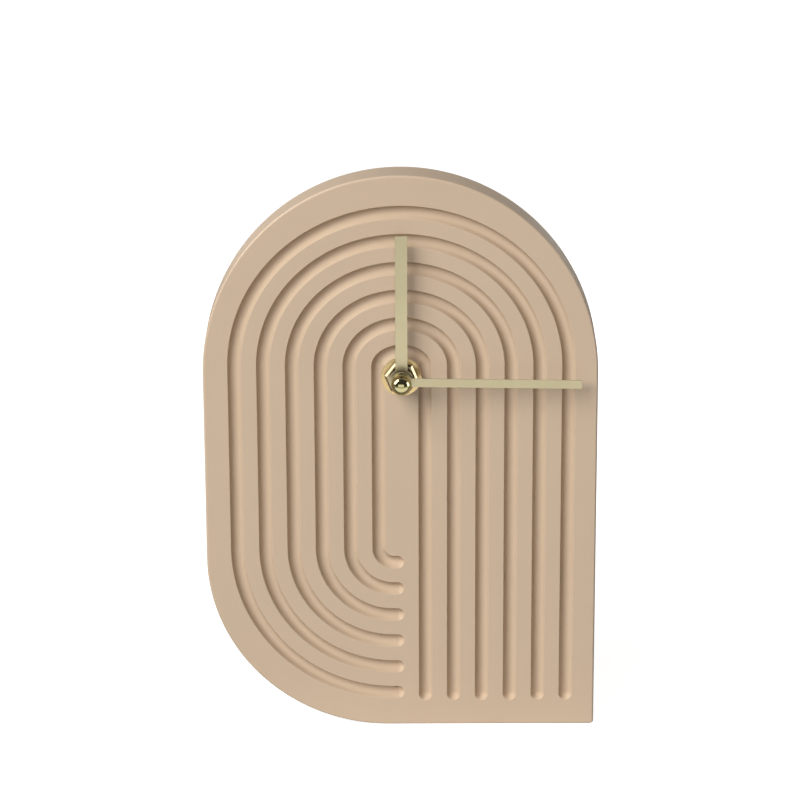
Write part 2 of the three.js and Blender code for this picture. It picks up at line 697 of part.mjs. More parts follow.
function minuteWheel() {
  const phase = meshedPhase(cannonTeeth, 0, centreAxis, settingAxis, minuteTeeth);
  const wheel = wheelAt(minuteTeeth, cannonModule, phase, minuteLayer, settingAxis);
  const pinion = pinionAt(minutePinionTeeth, hourModule, 0, hourLayer, settingAxis, minuteLayer);
  const arborBack = coverBack + knobHeight - fit;
  const arbor = rod(settingArborRadius, shellFloor + fit, arborBack, smallSteps, settingAxis);
  return piece('minute_wheel', join(wheel, pinion, arbor), whitePlastic);
}

function hourWheel() {
  const phase = meshedPhase(minutePinionTeeth, 0, settingAxis, centreAxis, hourTeeth);
  const wheel = wheelAt(hourTeeth, hourModule, phase, hourLayer, centreAxis);
  const tube = rod(hourTubeRadius, hourTubeFront, hourLayer + wheelThickness, fineSteps);
  const bore = rod(minuteArborRadius + runningFit, hourTubeFront - fit, minuteLayer, fineSteps);
  return piece('hour_wheel', cut(join(wheel, tube), bore), whitePlastic);
}

/** Fluted knob outside the cover, on the end of the setting arbor. */
function settingKnob() {
  const front = coverBack + fit;
  const back = front + knobHeight;
  const step = Math.PI / knobFlutes;
  const outline = Array.from({ length: 2 * knobFlutes }, (_, i) =>
    polar(knobDiameter / 2 - (i % 2) * knobFluteDepth, i * step).add(settingAxis));
  const bore = rod(settingArborRadius + fit, front - fit, coverBack + knobHeight, smallSteps, settingAxis);
  return piece('setting_knob', cut(slab(outline, front, back), bore), blackPlastic);
}

/** Plate between the motion work and the running train, on the shell's four posts. */
function trainPlate() {
  const half = innerHalfWidth - plateInset;
  const top = coilHeight - coilFlangeRadius - plateTopRoom;
  const outline = roundedOutline(-half, half, dividerTop + fit, top, 2 * postRadius);
  const plate = slab(outline, plateFront, plateBack);
  const through = [[centreAxis, arborRadius], [fifthAxis, arborRadius], [rotorAxis, arborRadius],
    [settingAxis, settingArborRadius], [thirdAxis, tipRadius(thirdPinionTeeth, centreModule)]];
  const holes = through.map(([place, radius]) =>
    rod(radius + runningFit, plateFront - fit, plateBack + fit, smallSteps, place));
  return piece('train_plate', cut(plate, ...holes), whitePlastic);
}

// Motor and circuit

const coreEnds = [coilLeft - coreOverlap, coilRight + coreOverlap];

/** Motor plate: a bore round the rotor and two arms up to the ends of the coil's core. */
function stator() {
  const bore = rotorMagnetDiameter / 2 + statorBoreRoom;
  const half = bore + statorWeb;
  const low = rotorAxis.y - half;
  const high = coilHeight + coreWidth / 2 + fit;
  const armWidth = coreOverlap - looseFit;
  const shoulder = coilHeight - coilFlangeRadius - statorWeb - looseFit;
  const neck = rotorAxis.y + half;
  const [left, right] = coreEnds;
  const corners = [[rotorAxis.x - half, low], [rotorAxis.x + half, low], [right, shoulder], [right, high],
    [right - armWidth, high], [right - armWidth, shoulder + statorWeb], [rotorAxis.x + bore, neck],
    [rotorAxis.x - bore, neck], [left + armWidth, shoulder + statorWeb], [left + armWidth, high],
    [left, high], [left, shoulder]];
  const outline = corners.map(([x, z]) => new THREE.Vector2(x, z));
  const hole = rod(bore, statorFront - fit, statorBack + fit, fineSteps, rotorAxis);
  return piece('stator', cut(slab(outline, statorFront, statorBack), hole), bareSteel);
}

const coreBar = (room) => block(coreEnds[0] + fit - room, coreEnds[1] - fit + room, coreFront - room,
  coreFront + coreThickness + room, coilHeight - coreWidth / 2 - room, coilHeight + coreWidth / 2 + room);

const coilCore = () => piece('coil_core', coreBar(0), bareSteel);

function coilBobbin() {
  const flange = coilFlangeThickness;
  const profile = [[0, coilLeft], [coilFlangeRadius, coilLeft], [coilFlangeRadius, coilLeft + flange],
    [coilTubeRadius, coilLeft + flange], [coilTubeRadius, coilRight - flange],
    [coilFlangeRadius, coilRight - flange], [coilFlangeRadius, coilRight], [0, coilRight]];
  const spool = turnedAcross(profile, smallSteps, coilDepth, coilHeight);
  return piece('coil_bobbin', cut(spool, coreBar(fit)), whitePlastic);
}

function coilWinding() {
  const left = coilLeft + coilFlangeThickness + fit;
  const right = coilRight - coilFlangeThickness - fit;
  const inner = coilTubeRadius + fit;
  const outer = coilWindingRadius;
  const profile = [[inner, left], [outer, left], [outer, right], [inner, right], [inner, left]];
  return piece('coil_winding', turnedAcross(profile, smallSteps, coilDepth, coilHeight), copperWire);
}

/** Board along the left and top walls, with the chip under a drop of resin. */
function circuitBoard() {
  const right = boardLeft + boardLength;
  const columnRight = boardLeft + boardColumnWidth;
  const bandBottom = boardTop - boardBandHeight;
  const column = block(boardLeft, columnRight, boardFront, boardBack, railTop + fit, boardTop);
  const band = block(boardLeft, right, boardFront, boardBack, bandBottom, boardTop);
  const radius = chipBlobRadius;
  const blobTop = boardBack + chipBlobHeight;
  const blobPlace = new THREE.Vector2(right - 2 * radius, bandBottom + 2 * radius);
  const blob = turned([[0, boardFront + fit], [radius, boardFront + fit], [radius, boardBack],
    [radius / 2, blobTop], [0, blobTop]], smallSteps, blobPlace);
  return piece('circuit_board', join(column, band, blob), greenBoard);
}

function quartzCrystal() {
  const left = boardLeft + boardColumnWidth;
  const radius = crystalDiameter / 2;
  const profile = [[0, left], [radius, left], [radius, left + crystalLength], [0, left + crystalLength]];
  const height = boardTop - crystalDiameter - postRadius;
  const can = turnedAcross(profile, smallSteps, boardBack + fit + radius, height);
  return piece('quartz_crystal', can, bareSteel);
}

// Assembly

const onAxis = new THREE.Group();
onAxis.position.z = axisHeight;
onAxis.add(frontWasher(), hexNut(), hourHand(), minuteHand(), capNut());
onAxis.add(rubberGasket(), movementShell(), movementCover(), trainPlate());
onAxis.add(battery(), positiveContact(), negativeContact(), circuitBoard(), quartzCrystal());
onAxis.add(stator(), coilCore(), coilBobbin(), coilWinding(), rotor());
onAxis.add(fifthWheel(), secondsWheel(), thirdWheel(), centreWheel());
onAxis.add(minuteArbor(), minuteWheel(), hourWheel(), settingKnob());

const clock = new THREE.Group();
clock.add(casePanel(), standFoot(), onAxis);
clock.add(dowel('dowel_left', dowelPlaces[0]), dowel('dowel_right', dowelPlaces[1]));

export default clock;
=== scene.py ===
"""Looks of the table clock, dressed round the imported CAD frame.

Sizes in the classes are millimetres, and meshes are made in metres in the CAD's own frame:
+X is the viewer's right, -Y faces the viewer, +Z is up and the table top is at zero.
"""
from __future__ import annotations

import logging
import math
from contextlib import contextmanager
from dataclasses import dataclass
from enum import Enum
from typing import Any, Callable, Iterator, Sequence

import bmesh
import bpy
from mathutils import Matrix, Vector

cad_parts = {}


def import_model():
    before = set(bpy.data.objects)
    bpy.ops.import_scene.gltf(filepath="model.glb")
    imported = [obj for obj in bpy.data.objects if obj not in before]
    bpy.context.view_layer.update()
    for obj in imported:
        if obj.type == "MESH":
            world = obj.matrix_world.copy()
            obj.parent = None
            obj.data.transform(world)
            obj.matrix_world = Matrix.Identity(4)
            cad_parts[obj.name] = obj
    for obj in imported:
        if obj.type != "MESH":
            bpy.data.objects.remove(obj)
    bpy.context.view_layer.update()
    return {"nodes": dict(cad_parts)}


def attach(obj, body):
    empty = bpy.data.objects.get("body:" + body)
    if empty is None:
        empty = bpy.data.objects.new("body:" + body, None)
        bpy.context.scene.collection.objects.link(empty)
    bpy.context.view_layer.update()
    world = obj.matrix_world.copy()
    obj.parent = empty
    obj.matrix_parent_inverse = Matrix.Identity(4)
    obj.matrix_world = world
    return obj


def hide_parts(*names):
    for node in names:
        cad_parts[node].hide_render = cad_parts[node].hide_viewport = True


LOG = logging.getLogger("table_clock")
MM = 0.001
Point = tuple[float, float]
Sides = tuple[float, float, float, float]
Outline = Callable[[float], list[Point]]

# Places that several pieces share, in millimetres: the panel's two faces and the hands' axis.
FRONT, BACK = -7.5, 7.5
AXIS: Point = (0.0, 158.3)
# How far a cutter stands out past the face that it cuts, in millimetres.
CLEAR = 1.0
# Chords round small bores and bits, where other turned pieces have twice as many.
SMALL_ROUND = 48
# Nearly all of a finish's noise lies between these values.
NOISE_LOW, NOISE_HIGH = 0.3, 0.7


class Body(Enum):
    """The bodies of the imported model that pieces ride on."""

    CASE = "case"
    MINUTE = "minute"
    HOUR = "hour"
    SETTING = "setting"
    BATTERY = "battery"


class Brushing(Enum):
    """Which way a brushed sheet was drawn, as the stretch of its grain along x, y and z."""

    UPRIGHT = (1.0, 1.0, 0.03)
    ACROSS = (0.03, 1.0, 1.0)
    NONE = (1.0, 1.0, 1.0)


class Plane(Enum):
    """Which axes an outline is drawn on: across, up and through."""

    FACE = (0, 2, 1)
    FLOOR = (0, 1, 2)


class Joining(Enum):
    """What a second solid does to the first, by Blender's name for it."""

    CUT = "DIFFERENCE"
    WELD = "UNION"


def linear(colour: str) -> tuple[float, float, float, float]:
    """Turns an sRGB hex colour into a linear one.

    Args:
        colour: Six hex digits after a hash sign.

    Returns:
        Red, green, blue and an alpha of one.
    """
    channels = [int(colour[i : i + 2], 16) / 255 for i in (1, 3, 5)]
    low, knee, slope, lift, power = 12.92, 0.04045, 1.055, 0.055, 2.4
    red, green, blue = (c / low if c <= knee else ((c + lift) / slope) ** power for c in channels)
    return red, green, blue, 1.0


def add_node(
    tree: bpy.types.NodeTree, kind: str, inputs: dict[str | int, Any] | None = None, **settings: Any
) -> bpy.types.Node:
    """Adds a node with its settings and feeds its inputs.

    Args:
        tree: The tree that gets the node.
        kind: The node's type name.
        inputs: Socket name or number, with a value, or with an output socket to link from.
        settings: The node's own properties.

    Returns:
        The new node.
    """
    node = tree.nodes.new(kind)
    for name, value in settings.items():
        setattr(node, name, value)
    for name, value in (inputs or {}).items():
        if isinstance(value, bpy.types.NodeSocket):
            tree.links.new(value, node.inputs[name])
        else:
            node.inputs[name].default_value = value
    return node


def arc(
    across: float, up: float, radius: float, start: float, end: float, steps: int, rise: float | None = None
) -> list[Point]:
    """Points along an arc, ends included.

    Args:
        across: Centre of the arc along the first axis.
        up: Centre of the arc along the second axis.
        radius: Radius of the arc.
        start: First angle in degrees.
        end: Last angle in degrees.
        steps: Number of chords.
        rise: Radius along the second axis where the arc is part of an ellipse.

    Returns:
        The points in order.
    """
    angles = [math.radians(start + (end - start) * i / steps) for i in range(steps + 1)]
    high = radius if rise is None else rise
    return [(across + radius * math.cos(a), up + high * math.sin(a)) for a in angles]


def in_scene(name: str, data: bpy.types.ID) -> bpy.types.Object:
    """Puts a mesh, a lamp or a camera into the scene.

    Args:
        name: Name of the object.
        data: What the object holds.

    Returns:
        The new object.
    """
    made = bpy.data.objects.new(name, data)
    bpy.context.scene.collection.objects.link(made)
    return made


@contextmanager
def editing(mesh: bpy.types.Mesh) -> Iterator[bmesh.types.BMesh]:
    """Opens a mesh for editing and writes it back at the end.

    Args:
        mesh: The mesh to edit.

    Yields:
        The open mesh.
    """
    work = bmesh.new()
    work.from_mesh(mesh)
    yield work
    work.to_mesh(mesh)
    work.free()


def mesh_object(
    name: str, vertices: Sequence[Vector], faces: Sequence[Sequence[int]]
) -> bpy.types.Object:
    """Makes a mesh object from points in millimetres.

    Args:
        name: Name of the object and its mesh.
        vertices: Points in millimetres.
        faces: Corner numbers of each face.

    Returns:
        The object, in metres, with doubles merged and faces turned outwards.
    """
    mesh = bpy.data.meshes.new(name)
    mesh.from_pydata([v * MM for v in vertices], [], faces)
    tidy_mesh(mesh)
    return in_scene(name, mesh)


def tidy_mesh(mesh: bpy.types.Mesh, gap: float = 0.0005) -> None:
    """Merges doubled points and turns faces outwards.

    Args:
        mesh: The mesh to tidy.
        gap: Points closer than this, in millimetres, are merged.
    """
    with editing(mesh) as work:
        bmesh.ops.remove_doubles(work, verts=work.verts, dist=gap * MM)
        bmesh.ops.recalc_face_normals(work, faces=work.faces)


def wire(name: str, points: Sequence[Vector], closed: bool = False) -> bpy.types.Object:
    """Makes an object of edges alone, for a geometry tree to read.

    Args:
        name: Name of the object and its mesh.
        points: Points in millimetres, joined in order.
        closed: Whether the last point joins the first.

    Returns:
        The object, in metres.
    """
    mesh = bpy.data.meshes.new(name)
    count = len(points)
    joins = [(i, (i + 1) % count) for i in range(count if closed else count - 1)]
    mesh.from_pydata([p * MM for p in points], joins, [])
    return in_scene(name, mesh)


def rectangle(name: str, sides: Sides, height: float = 0.0) -> bpy.types.Object:
    """A flat, level rectangle.

    Args:
        name: Name of the object.
        sides: Its left, right, front and back sides in millimetres.
        height: Its height in millimetres.

    Returns:
        The rectangle.
    """
    left, right, front, back = sides
    corners = ((left, front), (right, front), (right, back), (left, back))
    return mesh_object(name, [Vector((x, y, height)) for x, y in corners], [[0, 1, 2, 3]])


def quads(count: int, rows: int, closed: bool = True, ring: bool = False) -> list[list[int]]:
    """Faces between rows of points.

    Args:
        count: Points in each row.
        rows: Number of rows.
        closed: Whether each row closes on itself.
        ring: Whether the last row joins the first.

    Returns:
        Corner numbers of each face, row by row.
    """
    faces = []
    for row in range(rows if ring else rows - 1):
        low, high = row * count, (row + 1) % rows * count
        for i in range(count if closed else count - 1):
            j = (i + 1) % count
            faces.append([low + i, low + j, high + j, high + i])
    return faces


def stacked(name: str, rings: Sequence[Sequence[Vector]]) -> bpy.types.Object:
    """Skins rings of equal length into one closed solid, with flat ends.

    Args:
        name: Name of the object.
        rings: Rings of points in millimetres, in order.

    Returns:
        The closed solid.
    """
    count = len(rings[0])
    ends = [list(range(count)), [len(rings) * count - 1 - i for i in range(count)]]
    return mesh_object(name, [v for ring in rings for v in ring], [*ends, *quads(count, len(rings))])


def levelled(name: str, outline: Outline, levels: Sequence[Point], plane: Plane) -> bpy.types.Object:
    """A solid whose outline is drawn in by a given inset at each level.

    Args:
        name: Name of the object.
        outline: Function from an inset to the outline's points.
        levels: Inset and height pairs, from one end to the other.
        plane: Axes that the outline is drawn on.

    Returns:
        The closed solid.
    """
    rings = []
    for inset, height in levels:
        ring = []
        for across, up in outline(inset):
            place = Vector()
            for axis, value in zip(plane.value, (across, up, height)):
                place[axis] = value
            ring.append(place)
        rings.append(ring)
    return stacked(name, rings)


def slab(
    name: str, outline: Outline, low: float, high: float, edge: float, plane: Plane, steps: int = 6
) -> bpy.types.Object:
    """A board or sheet with its edges rounded over.

    Args:
        name: Name of the object.
        outline: Function from an inset to the outline's points.
        low: Where the board starts.
        high: Where it ends.
        edge: Radius of its edges.
        plane: Axes that the outline is drawn on.
        steps: Chords in the rounded edge.

    Returns:
        The closed board.
    """
    turns = [0.5 * math.pi * i / steps for i in range(steps + 1)]
    first = [(edge * (1 - math.sin(t)), low + edge * (1 - math.cos(t))) for t in turns]
    last = [(inset, low + high - height) for inset, height in reversed(first)]
    return levelled(name, outline, first + last, plane)


def turned(
    name: str,
    profile: Sequence[Point],
    centre: Point,
    steps: int = 96,
    along_x: bool = False,
    ring: bool = False,
) -> bpy.types.Object:
    """A lathe-turned solid.

    Args:
        name: Name of the object.
        profile: Radius and place along the axis, from one end to the other.
        centre: Where the axis is: x and z for an axis along y, or y and z for one along x.
        steps: Chords round the axis.
        along_x: Whether the axis runs along x and not along y.
        ring: Whether the profile closes on itself, as a washer's does.

    Returns:
        The closed solid.
    """
    vertices = []
    for radius, place in profile:
        for i in range(steps):
            turn = 2 * math.pi * i / steps
            first, up = centre[0] + radius * math.cos(turn), centre[1] + radius * math.sin(turn)
            vertices.append(Vector((place, first, up)) if along_x else Vector((first, place, up)))
    piece = mesh_object(name, vertices, quads(steps, len(profile), ring=ring))
    with editing(piece.data) as work:
        bmesh.ops.holes_fill(work, edges=work.edges, sides=0)
        bmesh.ops.recalc_face_normals(work, faces=work.faces)
    return piece


def bake(piece: bpy.types.Object) -> None:
    """Turns a piece with modifiers into a plain mesh.

    Args:
        piece: The object, whose modifiers are used up.
    """
    graph = bpy.context.evaluated_depsgraph_get()
    mesh = bpy.data.meshes.new_from_object(piece.evaluated_get(graph), depsgraph=graph)
    piece.modifiers.clear()
    old, piece.data = piece.data, mesh
    bpy.data.meshes.remove(old)
    mesh.name = piece.name


def bore_profile(radius: float, start: float, end: float) -> list[Point]:
    """A plain hole's profile, from start to end along its own axis.

    Args:
        radius: The hole's radius.
        start: Where it begins.
        end: Where it ends.

    Returns:
        The profile, for turned().
    """
    return [(0, start), (radius, start), (radius, end), (0, end)]


def discard(*helpers: bpy.types.Object) -> None:
    """Removes objects that only helped to make a piece."""
    for helper in helpers:
        bpy.data.objects.remove(helper, do_unlink=True)


def dress_in(piece: bpy.types.Object, *finishes: Finish) -> bpy.types.Object:
    """Clears a piece's materials and gives each finish its own slot, in order.

    Args:
        piece: The piece to dress.
        finishes: Its finishes.

    Returns:
        The same piece.
    """
    piece.data.materials.clear()
    for finish in finishes:
        piece.data.materials.append(finish.material())
    return piece


def cut(piece: bpy.types.Object, cutter: bpy.types.Object, joining: Joining = Joining.CUT) -> None:
    """Cuts one solid with another, or welds the two, and removes the second.

    Args:
        piece: The solid that is kept.
        cutter: The solid that is used up.
        joining: What the second solid does to the first.
    """
    modifier = piece.modifiers.new("cut", "BOOLEAN")
    modifier.operation = joining.value
    modifier.solver = "MANIFOLD"
    modifier.object = cutter
    bake(piece)
    discard(cutter)


def geometry_tree(name: str, inputs: dict[str, str], result: str) -> bpy.types.NodeTree:
    """Starts a geometry tree with named inputs.

    Args:
        name: Name of the tree.
        inputs: Each input's name, with its kind of socket.
        result: Name of the geometry that comes out.

    Returns:
        The tree, with no nodes in it yet.
    """
    tree = bpy.data.node_groups.new(name, "GeometryNodeTree")
    for label, kind in inputs.items():
        tree.interface.new_socket(label, in_out="INPUT", socket_type=f"NodeSocket{kind}")
    tree.interface.new_socket(result, in_out="OUTPUT", socket_type="NodeSocketGeometry")
    return tree


def end_tree(tree: bpy.types.NodeTree, shape: bpy.types.NodeSocket, finish: bpy.types.NodeSocket) -> None:
    """Ends a geometry tree: instances made real, then the material, then the way out.

    Args:
        tree: The tree to end.
        shape: The finished geometry.
        finish: The material that it gets.
    """
    real = add_node(tree, "GeometryNodeRealizeInstances", {"Geometry": shape}).outputs["Geometry"]
    dressed = add_node(tree, "GeometryNodeSetMaterial", {"Geometry": real, "Material": finish})
    add_node(tree, "NodeGroupOutput", {0: dressed.outputs["Geometry"]})


def run_nodes(piece: bpy.types.Object, tree: bpy.types.NodeTree, values: dict[str, Any]) -> None:
    """Runs a geometry tree on a piece and keeps its result as a plain mesh.

    Args:
        piece: The object that the tree works on.
        tree: The geometry tree.
        values: The tree's inputs by their names.
    """
    modifier = piece.modifiers.new(tree.name, "NODES")
    modifier.node_group = tree
    for item in tree.interface.items_tree:
        if item.name in values:
            modifier[item.identifier] = values[item.name]
    bake(piece)


def soften(piece: bpy.types.Object, sharp: float = 35.0, edge: float = 0.0) -> bpy.types.Object:
    """Shades a piece smooth, and eases its sharp edges if asked.

    Args:
        piece: The object to shade.
        sharp: Angle in degrees past which an edge stays sharp.
        edge: Width in millimetres of a small round on sharp edges, or zero for none.

    Returns:
        The same object.
    """
    if edge:
        bevel = piece.modifiers.new("eased edges", "BEVEL")
        bevel.width = edge * MM
        bevel.segments = 3
        bevel.limit_method = "ANGLE"
        bevel.angle_limit = math.radians(sharp)
        bake(piece)
    piece.data.shade_smooth()
    piece.data.set_sharp_from_angle(angle=math.radians(sharp))
    normals = piece.modifiers.new("even shading", "WEIGHTED_NORMAL")
    normals.keep_sharp = True
    return piece


def mount(piece: bpy.types.Object, body: Body, slot: str, *nodes: str) -> None:
    """Sets a finished piece on its body in place of its CAD nodes.

    Args:
        piece: The finished piece.
        body: The body that carries it.
        slot: Name of the material slot for its finish; not used.
        nodes: The CAD nodes that it stands for.
    """
    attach(piece, body.value)
    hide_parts(*nodes)
    LOG.info("%s rides on %s for %s", piece.name, body.value, ", ".join(nodes))


@dataclass(frozen=True)
class Finish:
    """A surface finish: two colours that drift into each other, gloss, and a fine relief.

    drift_size, grain and relief are millimetres: how broad the drift of colour is, how far apart
    the bumps of the surface stand, and how high they are.
    """

    name: str
    colour: str
    drift: str
    drift_size: float
    roughness: float
    gloss_swing: float
    grain: float
    relief: float
    metallic: float = 0.0
    specular: float = 0.5
    brushing: Brushing = Brushing.NONE

    def material(self) -> bpy.types.Material:
        """Builds the finish as a node material.

        Returns:
            The material, made once for each finish.
        """
        made = bpy.data.materials.get(self.name)
        if made:
            return made
        made = bpy.data.materials.new(self.name)
        made.use_nodes = True
        made.diffuse_color = linear(self.colour)
        tree = made.node_tree
        shader = tree.nodes["Principled BSDF"]
        shader.inputs["Metallic"].default_value = self.metallic
        shader.inputs["Specular IOR Level"].default_value = self.specular
        place = add_node(tree, "ShaderNodeTexCoord").outputs["Object"]
        drawn = add_node(
            tree, "ShaderNodeMapping", {"Vector": place, "Scale": self.brushing.value}
        ).outputs["Vector"]
        broad, fine = (
            add_node(
                tree,
                "ShaderNodeTexNoise",
                {"Vector": at, "Scale": 1 / (size * MM), "Detail": octaves, "Roughness": 0.5},
            ).outputs["Fac"]
            for at, size, octaves in ((place, self.drift_size, 3.0), (drawn, self.grain, 2.0))
        )
        # The Mix node's colour sockets share their names with others, so they go by number.
        tint = add_node(
            tree,
            "ShaderNodeMix",
            {0: broad, 6: linear(self.colour), 7: linear(self.drift)},
            data_type="RGBA",
        )
        tree.links.new(tint.outputs[2], shader.inputs["Base Color"])
        gloss = add_node(
            tree,
            "ShaderNodeMapRange",
            {
                "Value": fine,
                "From Min": NOISE_LOW,
                "From Max": NOISE_HIGH,
                "To Min": self.roughness - self.gloss_swing,
                "To Max": self.roughness + self.gloss_swing,
            },
        )
        tree.links.new(gloss.outputs["Result"], shader.inputs["Roughness"])
        bump = add_node(
            tree, "ShaderNodeBump", {"Height": fine, "Distance": self.relief * MM, "Strength": 1.0}
        )
        tree.links.new(bump.outputs["Normal"], shader.inputs["Normal"])
        return made


# In each finish the numbers after the two colours are drift_size, roughness, gloss_swing, grain and
# relief, and then metallic where there is any.

# Fibreboard sprayed with beige satin lacquer: an even, warm face with a soft sheen on its edges.
# The sprayed skin has an orange-peel relief about 1 mm across, and the colour drifts very slightly.
PAINTED_BOARD = Finish(
    "beige_lacquered_fibreboard", "#CDB69C", "#C9B197", 28.0, 0.42, 0.03, 0.9, 0.0025, specular=0.35,
)
# Machined and polished brass: pale yellow with near-mirror reflections and a faintly uneven polish.
POLISHED_BRASS = Finish("polished_brass", "#B0A87F", "#A79F74", 4.0, 0.07, 0.02, 0.25, 0.0003, 1.0)
# Brass nut as it came off the bar lathe: greyer than the ball, with a satin face and bright bevels.
TURNED_BRASS = Finish("bar_turned_brass", "#A59878", "#9B8E6F", 3.0, 0.26, 0.05, 0.3, 0.0006, 1.0)
# Washer stamped from brass strip: yellow, and dull enough to take up the colour of the board round it.
STAMPED_BRASS = Finish("stamped_brass_strip", "#C8B081", "#BFA777", 5.0, 0.3, 0.05, 0.3, 0.0008, 1.0)
# Brass-tinted aluminium sheet, brushed lengthwise: a champagne sheen with fine long scratches.
# Real brush marks are some 0.03 mm apart; they are drawn at 0.2 mm so that they show.
BRUSHED_UPRIGHT = Finish(
    "brushed_champagne_aluminium_upright", "#BFB594", "#B6AB89", 9.0, 0.34, 0.06, 0.2, 0.0012, 1.0,
    brushing=Brushing.UPRIGHT,
)
BRUSHED_ACROSS = Finish(
    "brushed_champagne_aluminium_across", "#B4AA8A", "#ABA080", 9.0, 0.34, 0.06, 0.2, 0.0012, 1.0,
    brushing=Brushing.ACROSS,
)
# Sheared edge of the hands' sheet: paler than its face and matt, so it catches the light from above.
SHEARED_EDGE = Finish("sheared_aluminium_edge", "#C6BC9C", "#BDB291", 3.0, 0.6, 0.06, 0.2, 0.001, 0.35)
# Moulded black ABS: near black with a fine spark-eroded texture that breaks up its sheen.
BLACK_ABS = Finish("moulded_black_abs", "#1B1B1D", "#222225", 6.0, 0.48, 0.06, 0.35, 0.006)
# Moulded black nitrile rubber: dull and slightly dusty.
BLACK_RUBBER = Finish("black_nitrile_rubber", "#151515", "#1E1D1C", 3.0, 0.78, 0.05, 0.4, 0.008)
# Natural acetal, moulded: milky white with a waxy sheen.
WHITE_ACETAL = Finish("natural_acetal", "#E6E3DA", "#DDD9CC", 3.0, 0.4, 0.05, 0.3, 0.002)
# Nickel-plated spring steel: bright grey, and a little uneven in its gloss.
BRIGHT_STEEL = Finish("nickel_plated_steel", "#B9BBBE", "#A9ABB0", 3.0, 0.26, 0.06, 0.2, 0.0008, 1.0)
# Enamelled copper wire, wound: red-brown and glossy.
COPPER_WIRE = Finish("enamelled_copper_wire", "#B0643A", "#9A522C", 2.0, 0.3, 0.06, 0.2, 0.004, 1.0)
# Glass-fibre circuit board under green solder mask: dark green with a soft sheen.
GREEN_BOARD = Finish("green_masked_circuit_board", "#2C5A35", "#254E2D", 2.0, 0.42, 0.05, 0.4, 0.003)
# Plastic-bonded ferrite magnet: dark grey and dull.
BONDED_MAGNET = Finish("bonded_ferrite", "#404045", "#37373B", 2.0, 0.55, 0.05, 0.3, 0.004)
# Turned beech dowel: pale brown with a darker mottle about as broad as beech's own flecks.
BEECH = Finish("turned_beech", "#D2AE7C", "#B98F5C", 1.6, 0.62, 0.05, 0.5, 0.02)
# Plain shrink film on the cell: dark grey and smooth, with a slight sheen.
CELL_FILM = Finish("grey_shrink_film", "#3A3D42", "#34373B", 8.0, 0.3, 0.04, 0.8, 0.002)
# The film's end band, at the raised end: copper-coloured, with a half-metallic sheen.
CELL_BAND = Finish("copper_shrink_film", "#A9763F", "#9C6B37", 8.0, 0.3, 0.04, 0.8, 0.002, 0.6)


@dataclass(frozen=True)
class DowelHoles:
    """The two dowel holes that run from the panel into the foot."""

    places: tuple[float, float] = (-7.0, 47.0)
    height: float = 7.5
    radius: float = 4.3

    def cutters(self, start: float, end: float) -> list[bpy.types.Object]:
        """Plain round solids that bore the two holes.

        Args:
            start: Where the holes begin, on the viewer's side.
            end: Where they end.

        Returns:
            One cutter for each hole.
        """
        profile = bore_profile(self.radius, start, end)
        return [turned("dowel_bore", profile, (x, self.height), SMALL_ROUND) for x in self.places]


